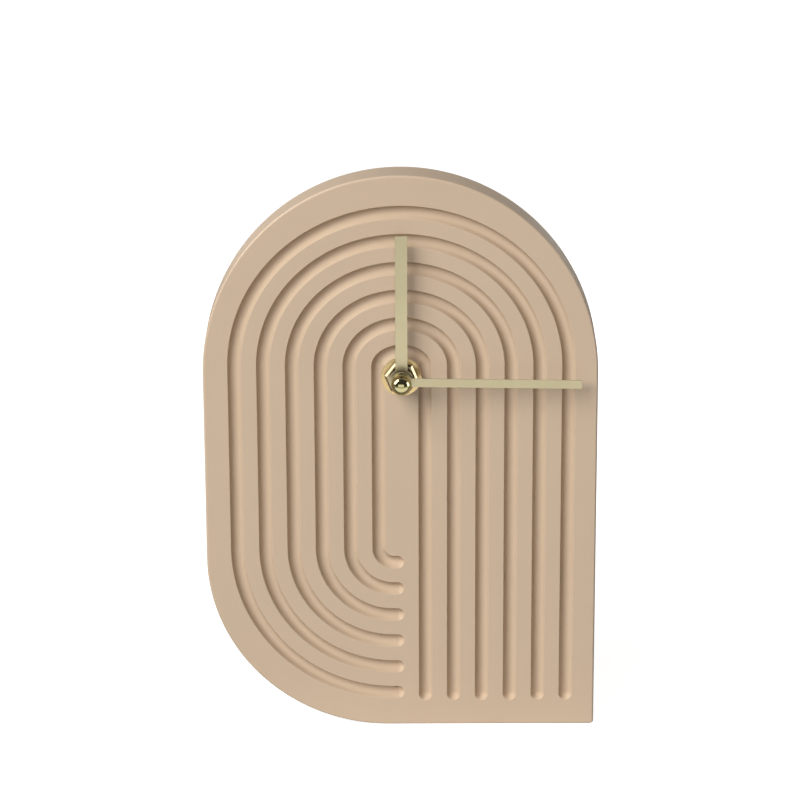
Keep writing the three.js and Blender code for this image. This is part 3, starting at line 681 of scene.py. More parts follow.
@dataclass
class GroovedPanel:
    """The arch-topped board with its routed grooves, movement pocket and bores.

    The groove sizes are the innermost groove's, and the others follow at the pitch. A groove's arch is
    flatter than a half circle by groove_flat. Its section has a round bottom, straight walls and a lip
    that is rounded off until it is lip_end degrees from the face.
    """

    width: float = 165.0
    height: float = 245.0
    arch_rise: float = 85.7
    middle: float = -0.42
    edge: float = 0.9
    square_corner: float = 1.5
    swept_corner: float = 77.0
    arch_steps: int = 120
    bend_steps: int = 60
    corner_steps: int = 8
    groove_count: int = 6
    groove_pitch: float = 12.0
    groove_radius: float = 9.8
    groove_flat: float = 2.9
    groove_arch: float = 162.5
    bend_across: float = -3.6
    bend_height: float = 81.35
    leg_end: float = 14.1
    tail_end: float = -2.0
    groove_half: float = 2.95
    tip_radius: float = 2.3
    tip_steps: int = 10
    wall_slope: float = 67.0
    lip_radius: float = 0.3
    lip_end: float = 10.0
    lip_steps: int = 5
    lip_over: float = 0.06
    pocket: Sides = (-28.8, 28.8, 129.51, 187.1)
    pocket_floor: float = -1.5
    pocket_corner: float = 3.0
    rim_chamfer: float = 0.4
    bush_hole: float = 4.2
    dowel_start: float = -2.5
    weld: float = 0.01

    def outline(self, inset: float) -> list[Point]:
        """The board's outline: arch, swept lower left corner and square lower right corner.

        Args:
            inset: How far the outline is drawn in.

        Returns:
            Points across and up the face.
        """
        half, swept, square = self.width / 2, self.swept_corner, self.square_corner
        left, right, rise = self.middle - half + swept, self.middle + half - square, self.arch_rise
        return [
            *arc(self.middle, self.height - rise, half - inset, 0, 180, self.arch_steps, rise - inset),
            *arc(left, swept, swept - inset, 180, 270, self.bend_steps),
            *arc(right, square, square - inset, 270, 360, self.corner_steps),
        ]

    def pocket_outline(self, inset: float) -> list[Point]:
        """The movement pocket's outline: a square with round corners.

        Args:
            inset: How far the outline is drawn in.

        Returns:
            Points across and up the face.
        """
        r = self.pocket_corner
        left, right, low, high = (s + way * r for s, way in zip(self.pocket, (1, -1, 1, -1)))
        corners = ((right, low, -90), (right, high, 0), (left, high, 90), (left, low, 180))
        return [p for x, z, a in corners for p in arc(x, z, r - inset, a, a + 90, self.corner_steps)]

    def section(self) -> list[Point]:
        """Half of the groove's section, from its bottom to above the face.

        Returns:
            Half width and depth pairs.
        """
        tip, lip, slope = self.tip_radius, self.lip_radius, math.radians(self.wall_slope)
        run = self.groove_half - (tip + lip) * math.sin(slope)
        centre = lip - (tip + lip) * math.cos(slope) + run * math.tan(slope)
        bottom = arc(0, centre, tip, 90, 90 - self.wall_slope, self.tip_steps)
        rounded = arc(self.groove_half, lip, lip, 270 - self.wall_slope, 270 - self.lip_end, self.lip_steps)
        reach, depth = rounded[-1]
        over = depth + self.lip_over
        reach += over / math.tan(math.radians(self.lip_end))
        return [*bottom, *rounded, (reach, depth - over), (reach, -CLEAR)]

    def line(self) -> bpy.types.Object:
        """The innermost groove's centre line: up the right leg, over the arch and round the bend.

        Returns:
            The line as an object of edges.
        """
        radius = self.groove_radius
        bend = radius + self.bend_across
        points = [
            (radius, self.leg_end),
            *arc(0, self.groove_arch, radius, 0, 180, self.arch_steps, radius - self.groove_flat),
            *arc(self.bend_across, self.bend_height, bend, 180, 270, self.bend_steps),
            (self.tail_end, self.bend_height - bend),
        ]
        return wire("groove_line", [Vector((x, FRONT, z)) for x, z in points])

    def bit_outline(self) -> bpy.types.Object:
        """The router bit's section.

        Returns:
            The section as a closed loop of edges.
        """
        half = self.section()
        loop = [*half, *[(-across, depth) for across, depth in reversed(half[1:])]]
        return wire("bit_section", [Vector((-depth, across, 0)) for across, depth in loop], closed=True)

    def bit(self) -> bpy.types.Object:
        """The router bit itself, for the round ends of the grooves."""
        half = self.section()
        return turned("router_bit", [*half, (0, half[-1][1])], (0, 0), SMALL_ROUND)

    def bores(self) -> bpy.types.Object:
        """The hole that the movement's bush goes through."""
        profile = bore_profile(self.bush_hole, FRONT - CLEAR, self.pocket_floor + CLEAR)
        return turned("bush_bore", profile, AXIS)

    def back_cuts(self) -> bpy.types.Object:
        """The movement pocket with its eased rim, and the two dowel holes.

        Returns:
            All the cutters as one object.
        """
        rim = self.rim_chamfer
        levels = [(0, self.pocket_floor), (0, BACK - rim), (-rim - CLEAR, BACK + CLEAR)]
        cuts = levelled("back_cuts", self.pocket_outline, levels, Plane.FACE)
        for hole in DowelHoles().cutters(self.dowel_start, BACK + CLEAR):
            with editing(cuts.data) as work:
                work.from_mesh(hole.data)
            discard(hole)
        return cuts

    def routing(self) -> bpy.types.NodeTree:
        """The tree that offsets the groove line, sweeps the bit along it and cuts the board.

        Returns:
            The geometry tree, with the grooves' count and pitch among its inputs.
        """
        tools = ("Groove line", "Bit section", "Bit", "Bores", "Back cuts")
        sizes = {"Grooves": "Int", "Pitch": "Float", "Paint": "Material"}
        inputs = {"Board": "Geometry", **dict.fromkeys(tools, "Object"), **sizes}
        tree = geometry_tree("routed_grooves", inputs, "Panel")
        given = add_node(tree, "NodeGroupInput").outputs
        shape = {
            name: add_node(tree, "GeometryNodeObjectInfo", {"Object": given[name]}).outputs["Geometry"]
            for name in tools
        }
        first = add_node(tree, "GeometryNodeMeshToCurve", {"Mesh": shape["Groove line"]})
        copies = add_node(
            tree,
            "GeometryNodeDuplicateElements",
            {"Geometry": first.outputs["Curve"], "Amount": given["Grooves"]},
            domain="SPLINE",
        )
        step = add_node(
            tree,
            "ShaderNodeMath",
            {0: copies.outputs["Duplicate Index"], 1: given["Pitch"]},
            operation="MULTIPLY",
        )
        tangent = add_node(tree, "GeometryNodeInputTangent").outputs["Tangent"]
        aside = add_node(
            tree, "ShaderNodeVectorMath", {0: tangent, 1: (0.0, -1.0, 0.0)}, operation="CROSS_PRODUCT"
        )
        offset = add_node(
            tree,
            "ShaderNodeVectorMath",
            {0: aside.outputs["Vector"], "Scale": step.outputs["Value"]},
            operation="SCALE",
        )
        lines = add_node(
            tree,
            "GeometryNodeSetPosition",
            {"Geometry": copies.outputs["Geometry"], "Offset": offset.outputs["Vector"]},
        ).outputs["Geometry"]
        upright = add_node(
            tree, "GeometryNodeSetCurveNormal", {"Curve": lines, "Normal": (0.0, -1.0, 0.0)}, mode="FREE"
        )
        loop = add_node(tree, "GeometryNodeMeshToCurve", {"Mesh": shape["Bit section"]})
        sweeps = add_node(
            tree,
            "GeometryNodeCurveToMesh",
            {
                "Curve": upright.outputs["Curve"],
                "Profile Curve": loop.outputs["Curve"],
                "Fill Caps": True,
            },
        )
        ends = add_node(tree, "GeometryNodeCurveEndpointSelection", {"Start Size": 1, "End Size": 1})
        bits = add_node(
            tree,
            "GeometryNodeInstanceOnPoints",
            {"Points": lines, "Selection": ends.outputs["Selection"], "Instance": shape["Bit"]},
        )
        plunges = add_node(tree, "GeometryNodeRealizeInstances", {"Geometry": bits.outputs["Instances"]})
        outward = add_node(tree, "GeometryNodeFlipFaces", {"Mesh": sweeps.outputs["Mesh"]})
        board = given["Board"]
        for tool in (
            outward.outputs["Mesh"],
            plunges.outputs["Geometry"],
            shape["Back cuts"],
            shape["Bores"],
        ):
            routed = add_node(
                tree,
                "GeometryNodeMeshBoolean",
                {"Mesh 1": board, "Mesh 2": tool},
                operation="DIFFERENCE",
                solver="MANIFOLD",
            )
            board = routed.outputs["Mesh"]
        end_tree(tree, board, given["Paint"])
        return tree

    def build(self) -> None:
        """Builds the board, routes it, shades it and sets it on the case."""
        board = slab("grooved_panel", self.outline, FRONT, BACK, self.edge, Plane.FACE)
        tools = {
            "Groove line": self.line(),
            "Bit section": self.bit_outline(),
            "Bit": self.bit(),
            "Bores": self.bores(),
            "Back cuts": self.back_cuts(),
        }
        sizes = {
            "Grooves": self.groove_count,
            "Pitch": self.groove_pitch * MM,
            "Paint": PAINTED_BOARD.material(),
        }
        run_nodes(board, self.routing(), {**tools, **sizes})
        discard(*tools.values())
        tidy_mesh(board.data, self.weld)
        mount(soften(board), Body.CASE, "painted_board", "case_panel")


@dataclass
class RearFoot:
    """The block behind the panel that keeps the clock upright."""

    left: float = -25.0
    right: float = 65.0
    back: float = 47.5
    height: float = 15.0
    corner: float = 12.0
    corner_steps: int = 24
    front_corner: float = 0.4
    front_steps: int = 4
    least_corner: float = 0.02
    edge: float = 1.0
    dowel_end: float = 20.5

    def outline(self, inset: float) -> list[Point]:
        """The foot's outline from above, with round rear corners.

        Args:
            inset: How far the outline is drawn in.

        Returns:
            Points across and back.
        """
        soft, crisp = self.corner, max(self.front_corner - inset, self.least_corner)
        front, rear = BACK + inset + crisp, self.back - soft
        return [
            *arc(self.left + inset + crisp, front, crisp, 180, 270, self.front_steps),
            *arc(self.right - inset - crisp, front, crisp, 270, 360, self.front_steps),
            *arc(self.right - soft, rear, soft - inset, 0, 90, self.corner_steps),
            *arc(self.left + soft, rear, soft - inset, 90, 180, self.corner_steps),
        ]

    def build(self) -> None:
        """Builds the foot, bores it for its dowels and sets it on the case."""
        foot = slab("rear_foot", self.outline, 0.0, self.height, self.edge, Plane.FLOOR)
        for hole in DowelHoles().cutters(BACK - CLEAR, self.dowel_end):
            cut(foot, hole)
        mount(soften(dress_in(foot, PAINTED_BOARD)), Body.CASE, "painted_board", "stand_foot")


@dataclass
class FaceFittings:
    """The washer, nut and ball cap on the hands' axis."""

    washer_radius: float = 8.4
    washer_thickness: float = 0.5
    washer_ease: float = 0.12
    bore: float = 4.0
    nut_flats: float = 12.6
    nut_thickness: float = 2.5
    nut_bevel: float = 0.9
    nut_turn: float = -7.7
    nut_sharp: float = 25.0
    nut_ease: float = 0.14
    cap_radius: float = 4.25
    cap_steps: int = 48
    cap_base: float = -15.9
    cap_seat: float = 3.0
    cap_bore: float = 1.8
    cap_bore_depth: float = 2.0

    def washer(self) -> None:
        """Turns the flat washer with eased edges and sets it on the case."""
        low, e, rim = FRONT - self.washer_thickness, self.washer_ease, self.washer_radius
        halfway = 0.6 * e  # halfway round the rim's edge
        profile = [
            (self.bore, FRONT), (self.bore, low + e), (self.bore + e, low), (rim - 2 * e, low),
            (rim - halfway, low + halfway), (rim, low + 2 * e), (rim, FRONT),
        ]
        washer = turned("brass_washer", profile, AXIS, ring=True)
        mount(soften(dress_in(washer, STAMPED_BRASS)), Body.CASE, "brass", "front_washer")

    def nut(self) -> None:
        """Builds the hexagon nut with its bevelled front and sets it on the case."""
        high = FRONT - self.washer_thickness
        low = high - self.nut_thickness
        slant = math.cos(math.pi / 6)
        corner = self.nut_flats / 2 / slant

        def hexagon(inset: float) -> list[Point]:
            """The nut's six corners, five chords of 60 degrees apart, drawn in by the inset."""
            return arc(*AXIS, corner - inset, self.nut_turn, self.nut_turn + 300, 5)

        levels = [(self.nut_bevel / slant, low), (0, low + self.nut_bevel), (0, high)]
        nut = levelled("brass_nut", hexagon, levels, Plane.FACE)
        cut(nut, turned("nut_bore", bore_profile(self.bore, low - CLEAR, high + CLEAR), AXIS))
        dress_in(nut, TURNED_BRASS)
        mount(soften(nut, self.nut_sharp, self.nut_ease), Body.CASE, "brass", "hex_nut")

    def cap(self) -> None:
        """Turns the ball cap with its blind bore and sets it on the minute hand's body."""
        centre = self.cap_base - self.cap_seat
        seat = math.degrees(math.asin(self.cap_seat / self.cap_radius))
        ball = [(r, centre + along) for r, along in arc(0, 0, self.cap_radius, -90, seat, self.cap_steps)]
        ball[0] = (0.0, ball[0][1])
        base, deep = self.cap_base, self.cap_base - self.cap_bore_depth
        profile = [*ball, (self.cap_bore, base), (self.cap_bore, deep), (0.0, deep)]
        cap = turned("ball_cap", profile, AXIS)
        mount(soften(dress_in(cap, POLISHED_BRASS)), Body.MINUTE, "brass", "cap_nut")

    def build(self) -> None:
        """Builds the three fittings in the order they go on."""
        self.washer()
        self.nut()
        self.cap()


@dataclass
class Hand:
    """One straight hand: a thin brushed blade with a round hub.

    pointing is in degrees from level at the viewer's right. Faces whose normal has less than edge_turn
    along the axis are the sheet's sheared edge.
    """

    name: str
    node: str
    body: Body
    finish: Finish
    length: float
    width: float
    hub: float
    front: float
    bore: float
    pointing: float
    collet_radius: float = 0.0
    collet_height: float = 0.0
    collet_sink: float = 0.2
    collet_ease: float = 0.15
    thickness: float = 0.5
    ease: float = 0.07
    ease_steps: int = 3
    tip_ease: float = 0.1
    hub_steps: int = 72
    edge_turn: float = 0.5

    def outline(self, inset: float) -> list[Point]:
        """The blade's outline in the face plane, turned to where it points.

        Args:
            inset: How far the outline is drawn in.

        Returns:
            Points across and up the face.
        """
        half, hub, tip, e = self.width / 2 - inset, self.hub - inset, self.length - inset, self.tip_ease
        root = math.degrees(math.asin(half / hub))
        flat = [
            *arc(0, 0, hub, root, 360 - root, self.hub_steps),
            (tip - e, -half), (tip, -half + e), (tip, half - e), (tip - e, half),
        ]
        turn = math.radians(self.pointing)
        c, s = math.cos(turn), math.sin(turn)
        x, z = AXIS
        return [(x + a * c - b * s, z + a * s + b * c) for a, b in flat]

    def build(self) -> None:
        """Cuts the sheet, joins its collet, bores it and sets it on its body."""
        back = self.front + self.thickness
        end = back + self.collet_height
        blade = slab(self.name, self.outline, self.front, back, self.ease, Plane.FACE, self.ease_steps)
        if self.collet_radius:
            start, r, e = self.front + self.collet_sink, self.collet_radius, self.collet_ease
            collet = [(0, start), (r, start), (r, end - e), (r - e, end), (0, end)]
            cut(blade, turned("collet", collet, AXIS), Joining.WELD)
        profile = bore_profile(self.bore, self.front - CLEAR, end + CLEAR)
        cut(blade, turned("hand_bore", profile, AXIS, SMALL_ROUND))
        soften(dress_in(blade, self.finish, SHEARED_EDGE))
        for face in blade.data.polygons:
            face.material_index = int(abs(face.normal.y) < self.edge_turn)
        mount(blade, self.body, "champagne_metal", self.node)


@dataclass
class Movement:
    """The quartz movement: housing, cover, setting knob and cell.

    The profiles of the cell's ends give a radius, and how far in it lies from the end or shoulder. The
    cell's faces inside the radius cell_bare are bare metal.
    """

    nodes: dict[str, bpy.types.Object]
    weld: float = 0.002
    flat_angle: float = 0.5
    bush_face: float = -0.75
    moulding_sharp: float = 40.0
    moulding_edge: float = 0.25
    knob_place: Point = (-11.0, AXIS[1])
    knob_radius: float = 5.5
    knob_front: float = 15.6
    knob_back: float = 18.2
    knob_chamfer: float = 0.2
    knob_edge: float = 0.5
    knob_edge_steps: int = 5
    knob_rim: float = 1.6
    knob_dish: float = 2.0
    knob_dish_depth: float = 0.35
    knob_ease: float = 0.08
    flutes: int = 18
    flute_radius: float = 0.7
    flute_depth: float = 0.5
    flute_sides: int = 20
    flute_reach: float = 4.0
    turned_sharp: float = 30.0
    cell_left: float = -25.25
    cell_right: float = 25.25
    cell_radius: float = 7.25
    cell_place: Point = (7.75, 139.16)
    cell_pole: float = 1.0
    cell_band: float = 9.5
    cell_bare: float = 6.3
    flat_end: tuple[Point, ...] = (
        (0, 0), (4.6, 0), (4.8, 0.25), (6.0, 0.25), (6.2, 0), (6.75, 0), (7.1, 0.25), (7.25, 0.7),
    )
    raised_end: tuple[Point, ...] = (
        (7.25, 0.7), (7.1, 0.25), (6.7, 0), (5.6, 0), (5.4, 0.3), (3.0, 0.3), (2.75, 0.1),
    )
    pole_end: tuple[Point, ...] = ((2.75, 0.2), (2.55, 0), (0, 0))

    def copy_of(self, node: str, name: str) -> bpy.types.Object:
        """A merged copy of a CAD node's mesh as an object of its own.

        Args:
            node: Name of the CAD node.
            name: Name of the new piece.

        Returns:
            The copy.
        """
        made = in_scene(name, self.nodes[node].data.copy())
        with editing(made.data) as work:
            bmesh.ops.remove_doubles(work, verts=work.verts, dist=self.weld * MM)
            flat = math.radians(self.flat_angle)
            bmesh.ops.dissolve_limit(work, angle_limit=flat, verts=work.verts, edges=work.edges)
        return made

    def housing(self) -> None:
        """Dresses the moulded housing, with its brass bush, and sets it on the case."""
        shell = self.copy_of("movement_shell", "movement_housing")
        dress_in(shell, BLACK_ABS, POLISHED_BRASS)
        soften(shell, self.moulding_sharp, self.moulding_edge)
        for polygon in shell.data.polygons:
            polygon.material_index = int(polygon.center.y < self.bush_face * MM)
        mount(shell, Body.CASE, "black_abs", "movement_shell")

    def cover(self) -> None:
        """Dresses the cover and sets it on the case."""
        lid = dress_in(self.copy_of("movement_cover", "housing_cover"), BLACK_ABS)
        soften(lid, self.moulding_sharp, self.moulding_edge)
        mount(lid, Body.CASE, "black_abs", "movement_cover")

    def fluting(self) -> bpy.types.NodeTree:
        """The tree that cuts flutes round a knob.

        Returns:
            The geometry tree, with the flutes' count and ring among its inputs.
        """
        lengths = ("Ring radius", "Flute radius", "Depth")
        inputs = {"Blank": "Geometry", "Flutes": "Int", **dict.fromkeys(lengths, "Float")}
        inputs |= {"Centre": "Vector", "Plastic": "Material"}
        tree = geometry_tree("knob_flutes", inputs, "Knob")
        given = add_node(tree, "NodeGroupInput").outputs
        ring = add_node(
            tree,
            "GeometryNodeMeshCircle",
            {"Vertices": given["Flutes"], "Radius": given["Ring radius"]},
        )
        cutter = add_node(
            tree,
            "GeometryNodeMeshCylinder",
            {"Vertices": self.flute_sides, "Radius": given["Flute radius"], "Depth": given["Depth"]},
        )
        spread = add_node(
            tree,
            "GeometryNodeInstanceOnPoints",
            {"Points": ring.outputs["Mesh"], "Instance": cutter.outputs["Mesh"]},
        )
        placed = add_node(
            tree,
            "GeometryNodeTransform",
            {
                "Geometry": spread.outputs["Instances"],
                "Translation": given["Centre"],
                "Rotation": (math.pi / 2, 0.0, 0.0),
            },
        )
        real = add_node(tree, "GeometryNodeRealizeInstances", {"Geometry": placed.outputs["Geometry"]})
        fluted = add_node(
            tree,
            "GeometryNodeMeshBoolean",
            {"Mesh 1": given["Blank"], "Mesh 2": real.outputs["Geometry"]},
            operation="DIFFERENCE",
            solver="MANIFOLD",
        )
        end_tree(tree, fluted.outputs["Mesh"], given["Plastic"])
        return tree

    def knob(self) -> None:
        """Turns the setting knob, flutes its rim and sets it on the setting wheel's body."""
        r, low, high = self.knob_radius, self.knob_front, self.knob_back
        c, e, dish = self.knob_chamfer, self.knob_edge, high - self.knob_dish_depth
        profile = [
            (0, low), (r - c, low), (r, low + c), *arc(r - e, high - e, e, 0, 90, self.knob_edge_steps),
            (r - self.knob_rim, high), (r - self.knob_dish, dish), (0, dish),
        ]
        knob = turned("fluted_knob", profile, self.knob_place)
        x, z = self.knob_place
        values = {
            "Flutes": self.flutes,
            "Ring radius": (r + self.flute_radius - self.flute_depth) * MM,
            "Flute radius": self.flute_radius * MM,
            "Depth": self.flute_reach * (high - low) * MM,
            "Centre": Vector((x, (low + high) / 2, z)) * MM,
            "Plastic": BLACK_ABS.material(),
        }
        run_nodes(knob, self.fluting(), values)
        soften(knob, self.turned_sharp, self.knob_ease)
        mount(knob, Body.SETTING, "black_abs", "setting_knob")

    def cell(self) -> None:
        """Turns the cell with its film, end band and bare ends, and sets it on its own body."""
        shoulder = self.cell_right - self.cell_pole
        band = shoulder - self.cell_band
        profile = [
            *((r, self.cell_left + inward) for r, inward in self.flat_end),
            (self.cell_radius, band),
            *((r, shoulder - inward) for r, inward in self.raised_end),
            *((r, self.cell_right - inward) for r, inward in self.pole_end),
        ]
        cell = turned("wrapped_cell", profile, self.cell_place, along_x=True)
        film, copper, metal = range(3)
        dress_in(cell, CELL_FILM, CELL_BAND, BRIGHT_STEEL)
        y, z = (value * MM for value in self.cell_place)
        for polygon in cell.data.polygons:
            corners = [cell.data.vertices[i].co for i in polygon.vertices]
            if max(math.hypot(corner.y - y, corner.z - z) for corner in corners) < self.cell_bare * MM:
                polygon.material_index = metal
            else:
                polygon.material_index = copper if polygon.center.x > band * MM else film
        mount(soften(cell, self.turned_sharp), Body.BATTERY, "battery_can", "battery")

    def build(self) -> None:
        """Builds the pieces of the movement that show."""
        self.housing()
        self.cover()
        self.knob()
        self.cell()


@dataclass
class InnerWorks:
    """The CAD nodes that keep their shape and only get their finish, grouped by that finish."""

    nodes: dict[str, bpy.types.Object]
    groups: tuple[tuple[Finish, tuple[str, ...]], ...] = (
        (BEECH, ("dowel_left", "dowel_right")),
        (BLACK_RUBBER, ("rubber_gasket",)),
        (BLACK_ABS, ("train_plate", "coil_bobbin")),
        (
            BRIGHT_STEEL,
            (
                "stator", "coil_core", "quartz_crystal",
                "positive_contact", "negative_contact", "minute_arbor",
            ),
        ),
        (COPPER_WIRE, ("coil_winding",)),
        (GREEN_BOARD, ("circuit_board",)),
        (
            WHITE_ACETAL,
            ("hour_wheel", "minute_wheel", "seconds_wheel", "third_wheel", "centre_wheel", "fifth_wheel"),
        ),
        (BONDED_MAGNET, ("rotor",)),
    )

    def build(self) -> None:
        """Puts each group's finish on each of its nodes."""
        for finish, names in self.groups:
            for name in names:
                piece = self.nodes[name]
                for slot in piece.material_slots:
                    slot.material = finish.material()
                LOG.info("%s keeps its CAD shape in %s", name, finish.name)


@dataclass(frozen=True)
class Spot:
    """Where a lamp or card stands that faces the clock, and its size.

    across and up are degrees: to the viewer's right of straight in front, and above the level of the
    clock's middle. The rest are millimetres.
    """

    across: float
    up: float
    away: float
    width: float
    height: float
    aim: tuple[float, float, float] = (0.0, -8.0, 140.0)

    def matrix(self) -> Matrix:
        """The place and turn of what stands there.

        Returns:
            The matrix of an object that shines along its own -Z.
        """
        side, rise = math.radians(self.across), math.radians(self.up)
        out = Vector((math.sin(side) * math.cos(rise), -math.cos(side) * math.cos(rise), math.sin(rise)))
        place = (Vector(self.aim) + out * self.away) * MM
        return Matrix.Translation(place) @ out.to_track_quat("Z", "Y").to_matrix().to_4x4()


@dataclass
class Studio:
    """The pale floor, the white surround, the lamps, the reflector cards and the camera.

    A lamp's last number is its power in watts, and a card's is its brightness, where one is white. A
    flat card also has its height, just under the clock and apart from the others.
    """

    lens: float = 159.96
    sensor: float = 36.0
    far_clip: float = 20000.0
    camera_place: tuple[float, float, float] = (2.952, -1412.495, 631.525)
    yaw: float = -2.5671e-3
    pitch: float = 0.3314719
    roll: float = -4.13908e-3
    ambient: float = 0.03
    table_radius: float = 1600.0
    table_height: float = -0.1
    table_colour: str = "#707070"
    table_glow: float = 0.93
    sheet: Sides = (-115.0, 500.0, -42.0, 700.0)
    sheet_height: float = -0.02
    sheet_colour: str = "#C8C8C8"
    sheet_glow: float = 0.87
    dome_radius: float = 3500.0
    front_glow: float = 0.07
    back_glow: float = 0.4
    lamps: tuple[tuple[str, Spot, float], ...] = (
        ("key_softbox", Spot(-43.0, 36.0, 4500.0, 3200.0, 3400.0), 270.0),
        ("camera_fill", Spot(1.0, 19.0, 1700.0, 450.0, 350.0), 4.0),
        ("rear_fill", Spot(150.0, 4.0, 1500.0, 1200.0, 400.0), 13.0),
    )
    flat_cards: tuple[tuple[str, Sides, float, float], ...] = (
        ("dim_table", (-1600.0, 1600.0, -1600.0, 1600.0), -0.014, 0.25),
        ("front_sheet", (-600.0, 620.0, -640.0, -85.0), -0.007, 1.6),
    )
    cards: tuple[tuple[str, Spot, float], ...] = (
        ("left_softbox", Spot(-94.0, 38.0, 1300.0, 1000.0, 1250.0), 6.0),
        ("right_softbox", Spot(84.0, 12.0, 1300.0, 500.0, 800.0), 6.0),
        ("front_reflector", Spot(-5.0, 10.5, 1800.0, 2300.0, 1050.0), 1.6),
    )

    def camera(self) -> None:
        """Sets the camera where the photograph was taken from."""
        data = bpy.data.cameras.new("camera")
        data.lens = self.lens
        data.sensor_width = self.sensor
        data.clip_end = self.far_clip * MM
        ahead = Vector((
            math.sin(self.yaw) * math.cos(self.pitch),
            math.cos(self.yaw) * math.cos(self.pitch),
            -math.sin(self.pitch),
        ))
        level = Vector((math.cos(self.yaw), -math.sin(self.yaw), 0.0))
        above = level.cross(ahead)
        right = level * math.cos(self.roll) + above * math.sin(self.roll)
        up = above * math.cos(self.roll) - level * math.sin(self.roll)
        turn = Matrix((right, up, -ahead)).transposed()
        eye = in_scene("camera", data)
        eye.matrix_world = Matrix.Translation(Vector(self.camera_place) * MM) @ turn.to_4x4()
        bpy.context.scene.camera = eye

    def seen(self, tree: bpy.types.NodeTree) -> bpy.types.NodeSocket:
        """One for camera, glossy and transmission rays and zero for the rest.

        Args:
            tree: The tree of the floor's or the world's material.

        Returns:
            The socket with that number.
        """
        path = add_node(tree, "ShaderNodeLightPath").outputs
        seen = path["Is Camera Ray"]
        for kind in ("Is Glossy Ray", "Is Transmission Ray"):
            either = add_node(tree, "ShaderNodeMath", {0: seen, 1: path[kind]}, operation="MAXIMUM")
            seen = either.outputs["Value"]
        return seen

    def world(self) -> None:
        """A white surround to the eye that lights the clock only as plain ambient light."""
        world = bpy.data.worlds.new("white_surround")
        world.use_nodes = True
        tree = world.node_tree
        strength = add_node(
            tree,
            "ShaderNodeMapRange",
            {"Value": self.seen(tree), "To Min": self.ambient, "To Max": 1.0},
        )
        backdrop = tree.nodes["Background"]
        backdrop.inputs["Color"].default_value = (1.0, 1.0, 1.0, 1.0)
        tree.links.new(strength.outputs["Result"], backdrop.inputs["Strength"])
        bpy.context.scene.world = world

    def stage_tree(self, piece: bpy.types.Object) -> bpy.types.NodeTree:
        """Gives a stage object a material of its own.

        Args:
            piece: The table top, sheet, card or dome.

        Returns:
            The material's tree, with no nodes in it yet.
        """
        made = bpy.data.materials.new(piece.name)
        made.use_nodes = True
        made.node_tree.nodes.clear()
        piece.data.materials.append(made)
        return made.node_tree

    def floor(self) -> None:
        """A pale round table top, and the white sheet on it that the clock stands on."""
        rim = [Vector((x, y, 0.0)) for x, y in arc(0, 0, self.table_radius, 0, 355, 71)]
        table = mesh_object("pale_table", rim, [list(range(len(rim)))])
        sheet = rectangle("white_sheet", self.sheet)
        for top, height, colour, shine in (
            (table, self.table_height, self.table_colour, self.table_glow),
            (sheet, self.sheet_height, self.sheet_colour, self.sheet_glow),
        ):
            top.location.z = height * MM
            tree = self.stage_tree(top)
            matt = add_node(tree, "ShaderNodeBsdfDiffuse", {"Color": linear(colour)})
            glow = add_node(tree, "ShaderNodeMath", {0: self.seen(tree), 1: shine}, operation="MULTIPLY")
            light = add_node(tree, "ShaderNodeEmission", {"Strength": glow.outputs["Value"]})
            both = add_node(
                tree, "ShaderNodeAddShader", {0: matt.outputs["BSDF"], 1: light.outputs["Emission"]}
            )
            add_node(tree, "ShaderNodeOutputMaterial", {"Surface": both.outputs["Shader"]})

    def lamp(self, name: str, spot: Spot, power: float) -> None:
        """Adds one soft lamp that points at the clock and isn't seen in reflections.

        Args:
            name: Name of the lamp.
            spot: Where it stands, and its size.
            power: Power in watts.
        """
        data = bpy.data.lights.new(name, "AREA")
        data.shape = "RECTANGLE"
        data.size, data.size_y = spot.width * MM, spot.height * MM
        data.energy = power
        lamp = in_scene(name, data)
        lamp.matrix_world = spot.matrix()
        lamp.visible_glossy = False

    def card(self, name: str, spot: Spot, strength: float) -> None:
        """Adds a softbox card that faces the clock and only shows in reflections.

        Args:
            name: Name of the card.
            spot: Where it stands, and its size.
            strength: Brightness, where one is white.
        """
        half, high = spot.width / 2, spot.height / 2
        card = rectangle(name, (-half, half, -high, high))
        card.matrix_world = spot.matrix()
        self.only_reflected(card, strength)

    def only_reflected(self, card: bpy.types.Object, strength: float) -> None:
        """Makes a stage object that shows in reflections and nowhere else.

        Args:
            card: The card or dome.
            strength: Its brightness, where one is white.
        """
        tree = self.stage_tree(card)
        light = add_node(tree, "ShaderNodeEmission", {"Strength": strength})
        add_node(tree, "ShaderNodeOutputMaterial", {"Surface": light.outputs["Emission"]})
        for ray in ("camera", "diffuse", "transmission", "shadow"):
            setattr(card, f"visible_{ray}", False)

    def dome(self, name: str, start: float, glow: float) -> None:
        """Half of the room round the table, which shows in the metal between the lamps.

        Args:
            name: Name of the half.
            start: Angle in degrees that the half turn starts from.
            glow: Its brightness, where one is white.
        """
        radius, sides, levels = self.dome_radius, 36, 18
        vertices = []
        for level in range(levels + 1):
            rise = 0.5 * math.pi * level / levels
            ring = arc(0, 0, radius * math.cos(rise), start, start + 180, sides)
            vertices += [Vector((x, y, radius * math.sin(rise))) for x, y in ring]
        faces = quads(sides + 1, levels + 1, closed=False)
        self.only_reflected(mesh_object(name, vertices, faces), glow)

    def build(self) -> None:
        """Builds the whole studio."""
        self.camera()
        self.world()
        self.floor()
        self.dome("dim_room", 180.0, self.front_glow)
        self.dome("pale_wall", 0.0, self.back_glow)
        for name, spot, power in self.lamps:
            self.lamp(name, spot, power)
        for name, sides, height, glow in self.flat_cards:
            self.only_reflected(rectangle(name, sides, height), glow)
        for name, spot, glow in self.cards:
            self.card(name, spot, glow)
        bpy.context.scene.view_settings.view_transform = "Standard"


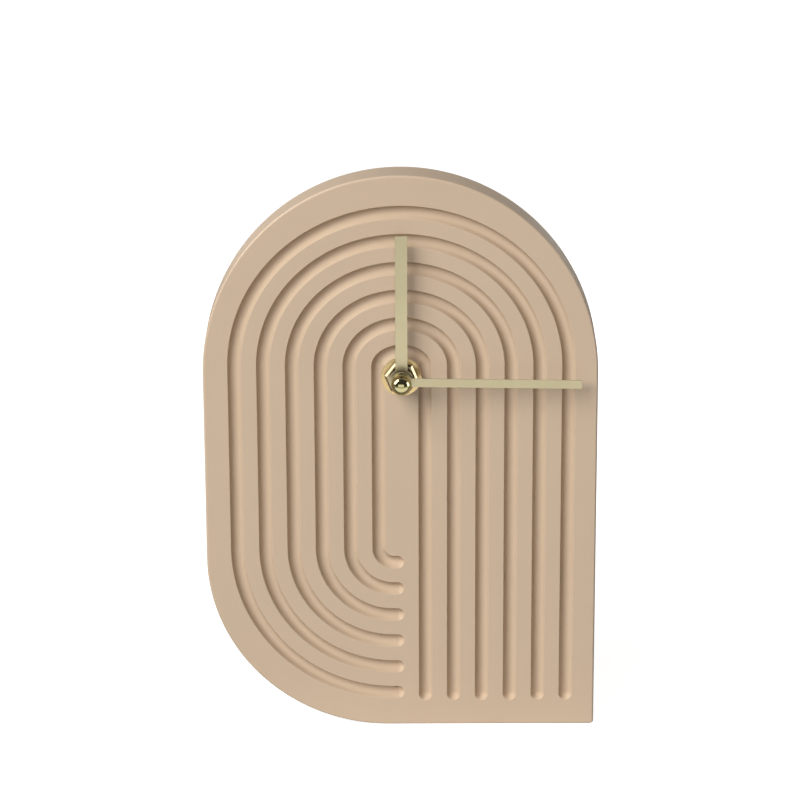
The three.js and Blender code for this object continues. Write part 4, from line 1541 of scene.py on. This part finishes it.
def main() -> None:
    """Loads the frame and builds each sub-assembly."""
    logging.basicConfig(level=logging.INFO, format="%(name)s: %(message)s")
    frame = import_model()
    Studio().build()
    GroovedPanel().build()
    RearFoot().build()
    FaceFittings().build()
    hands = (
        Hand(
            "hour_hand_blade", "hour_hand", Body.HOUR, BRUSHED_UPRIGHT, length=62.5, width=5.0, hub=5.0,
            front=-13.2, bore=2.7, pointing=90.0, collet_radius=3.6, collet_height=1.0,
        ),
        Hand(
            "minute_hand_blade", "minute_hand", Body.MINUTE, BRUSHED_ACROSS, length=75.0, width=3.7,
            hub=4.5, front=-15.6, bore=1.8, pointing=-0.85,
        ),
    )
    for hand in hands:
        hand.build()
    Movement(frame["nodes"]).build()
    InnerWorks(frame["nodes"]).build()


if __name__ == "__main__":
    main()
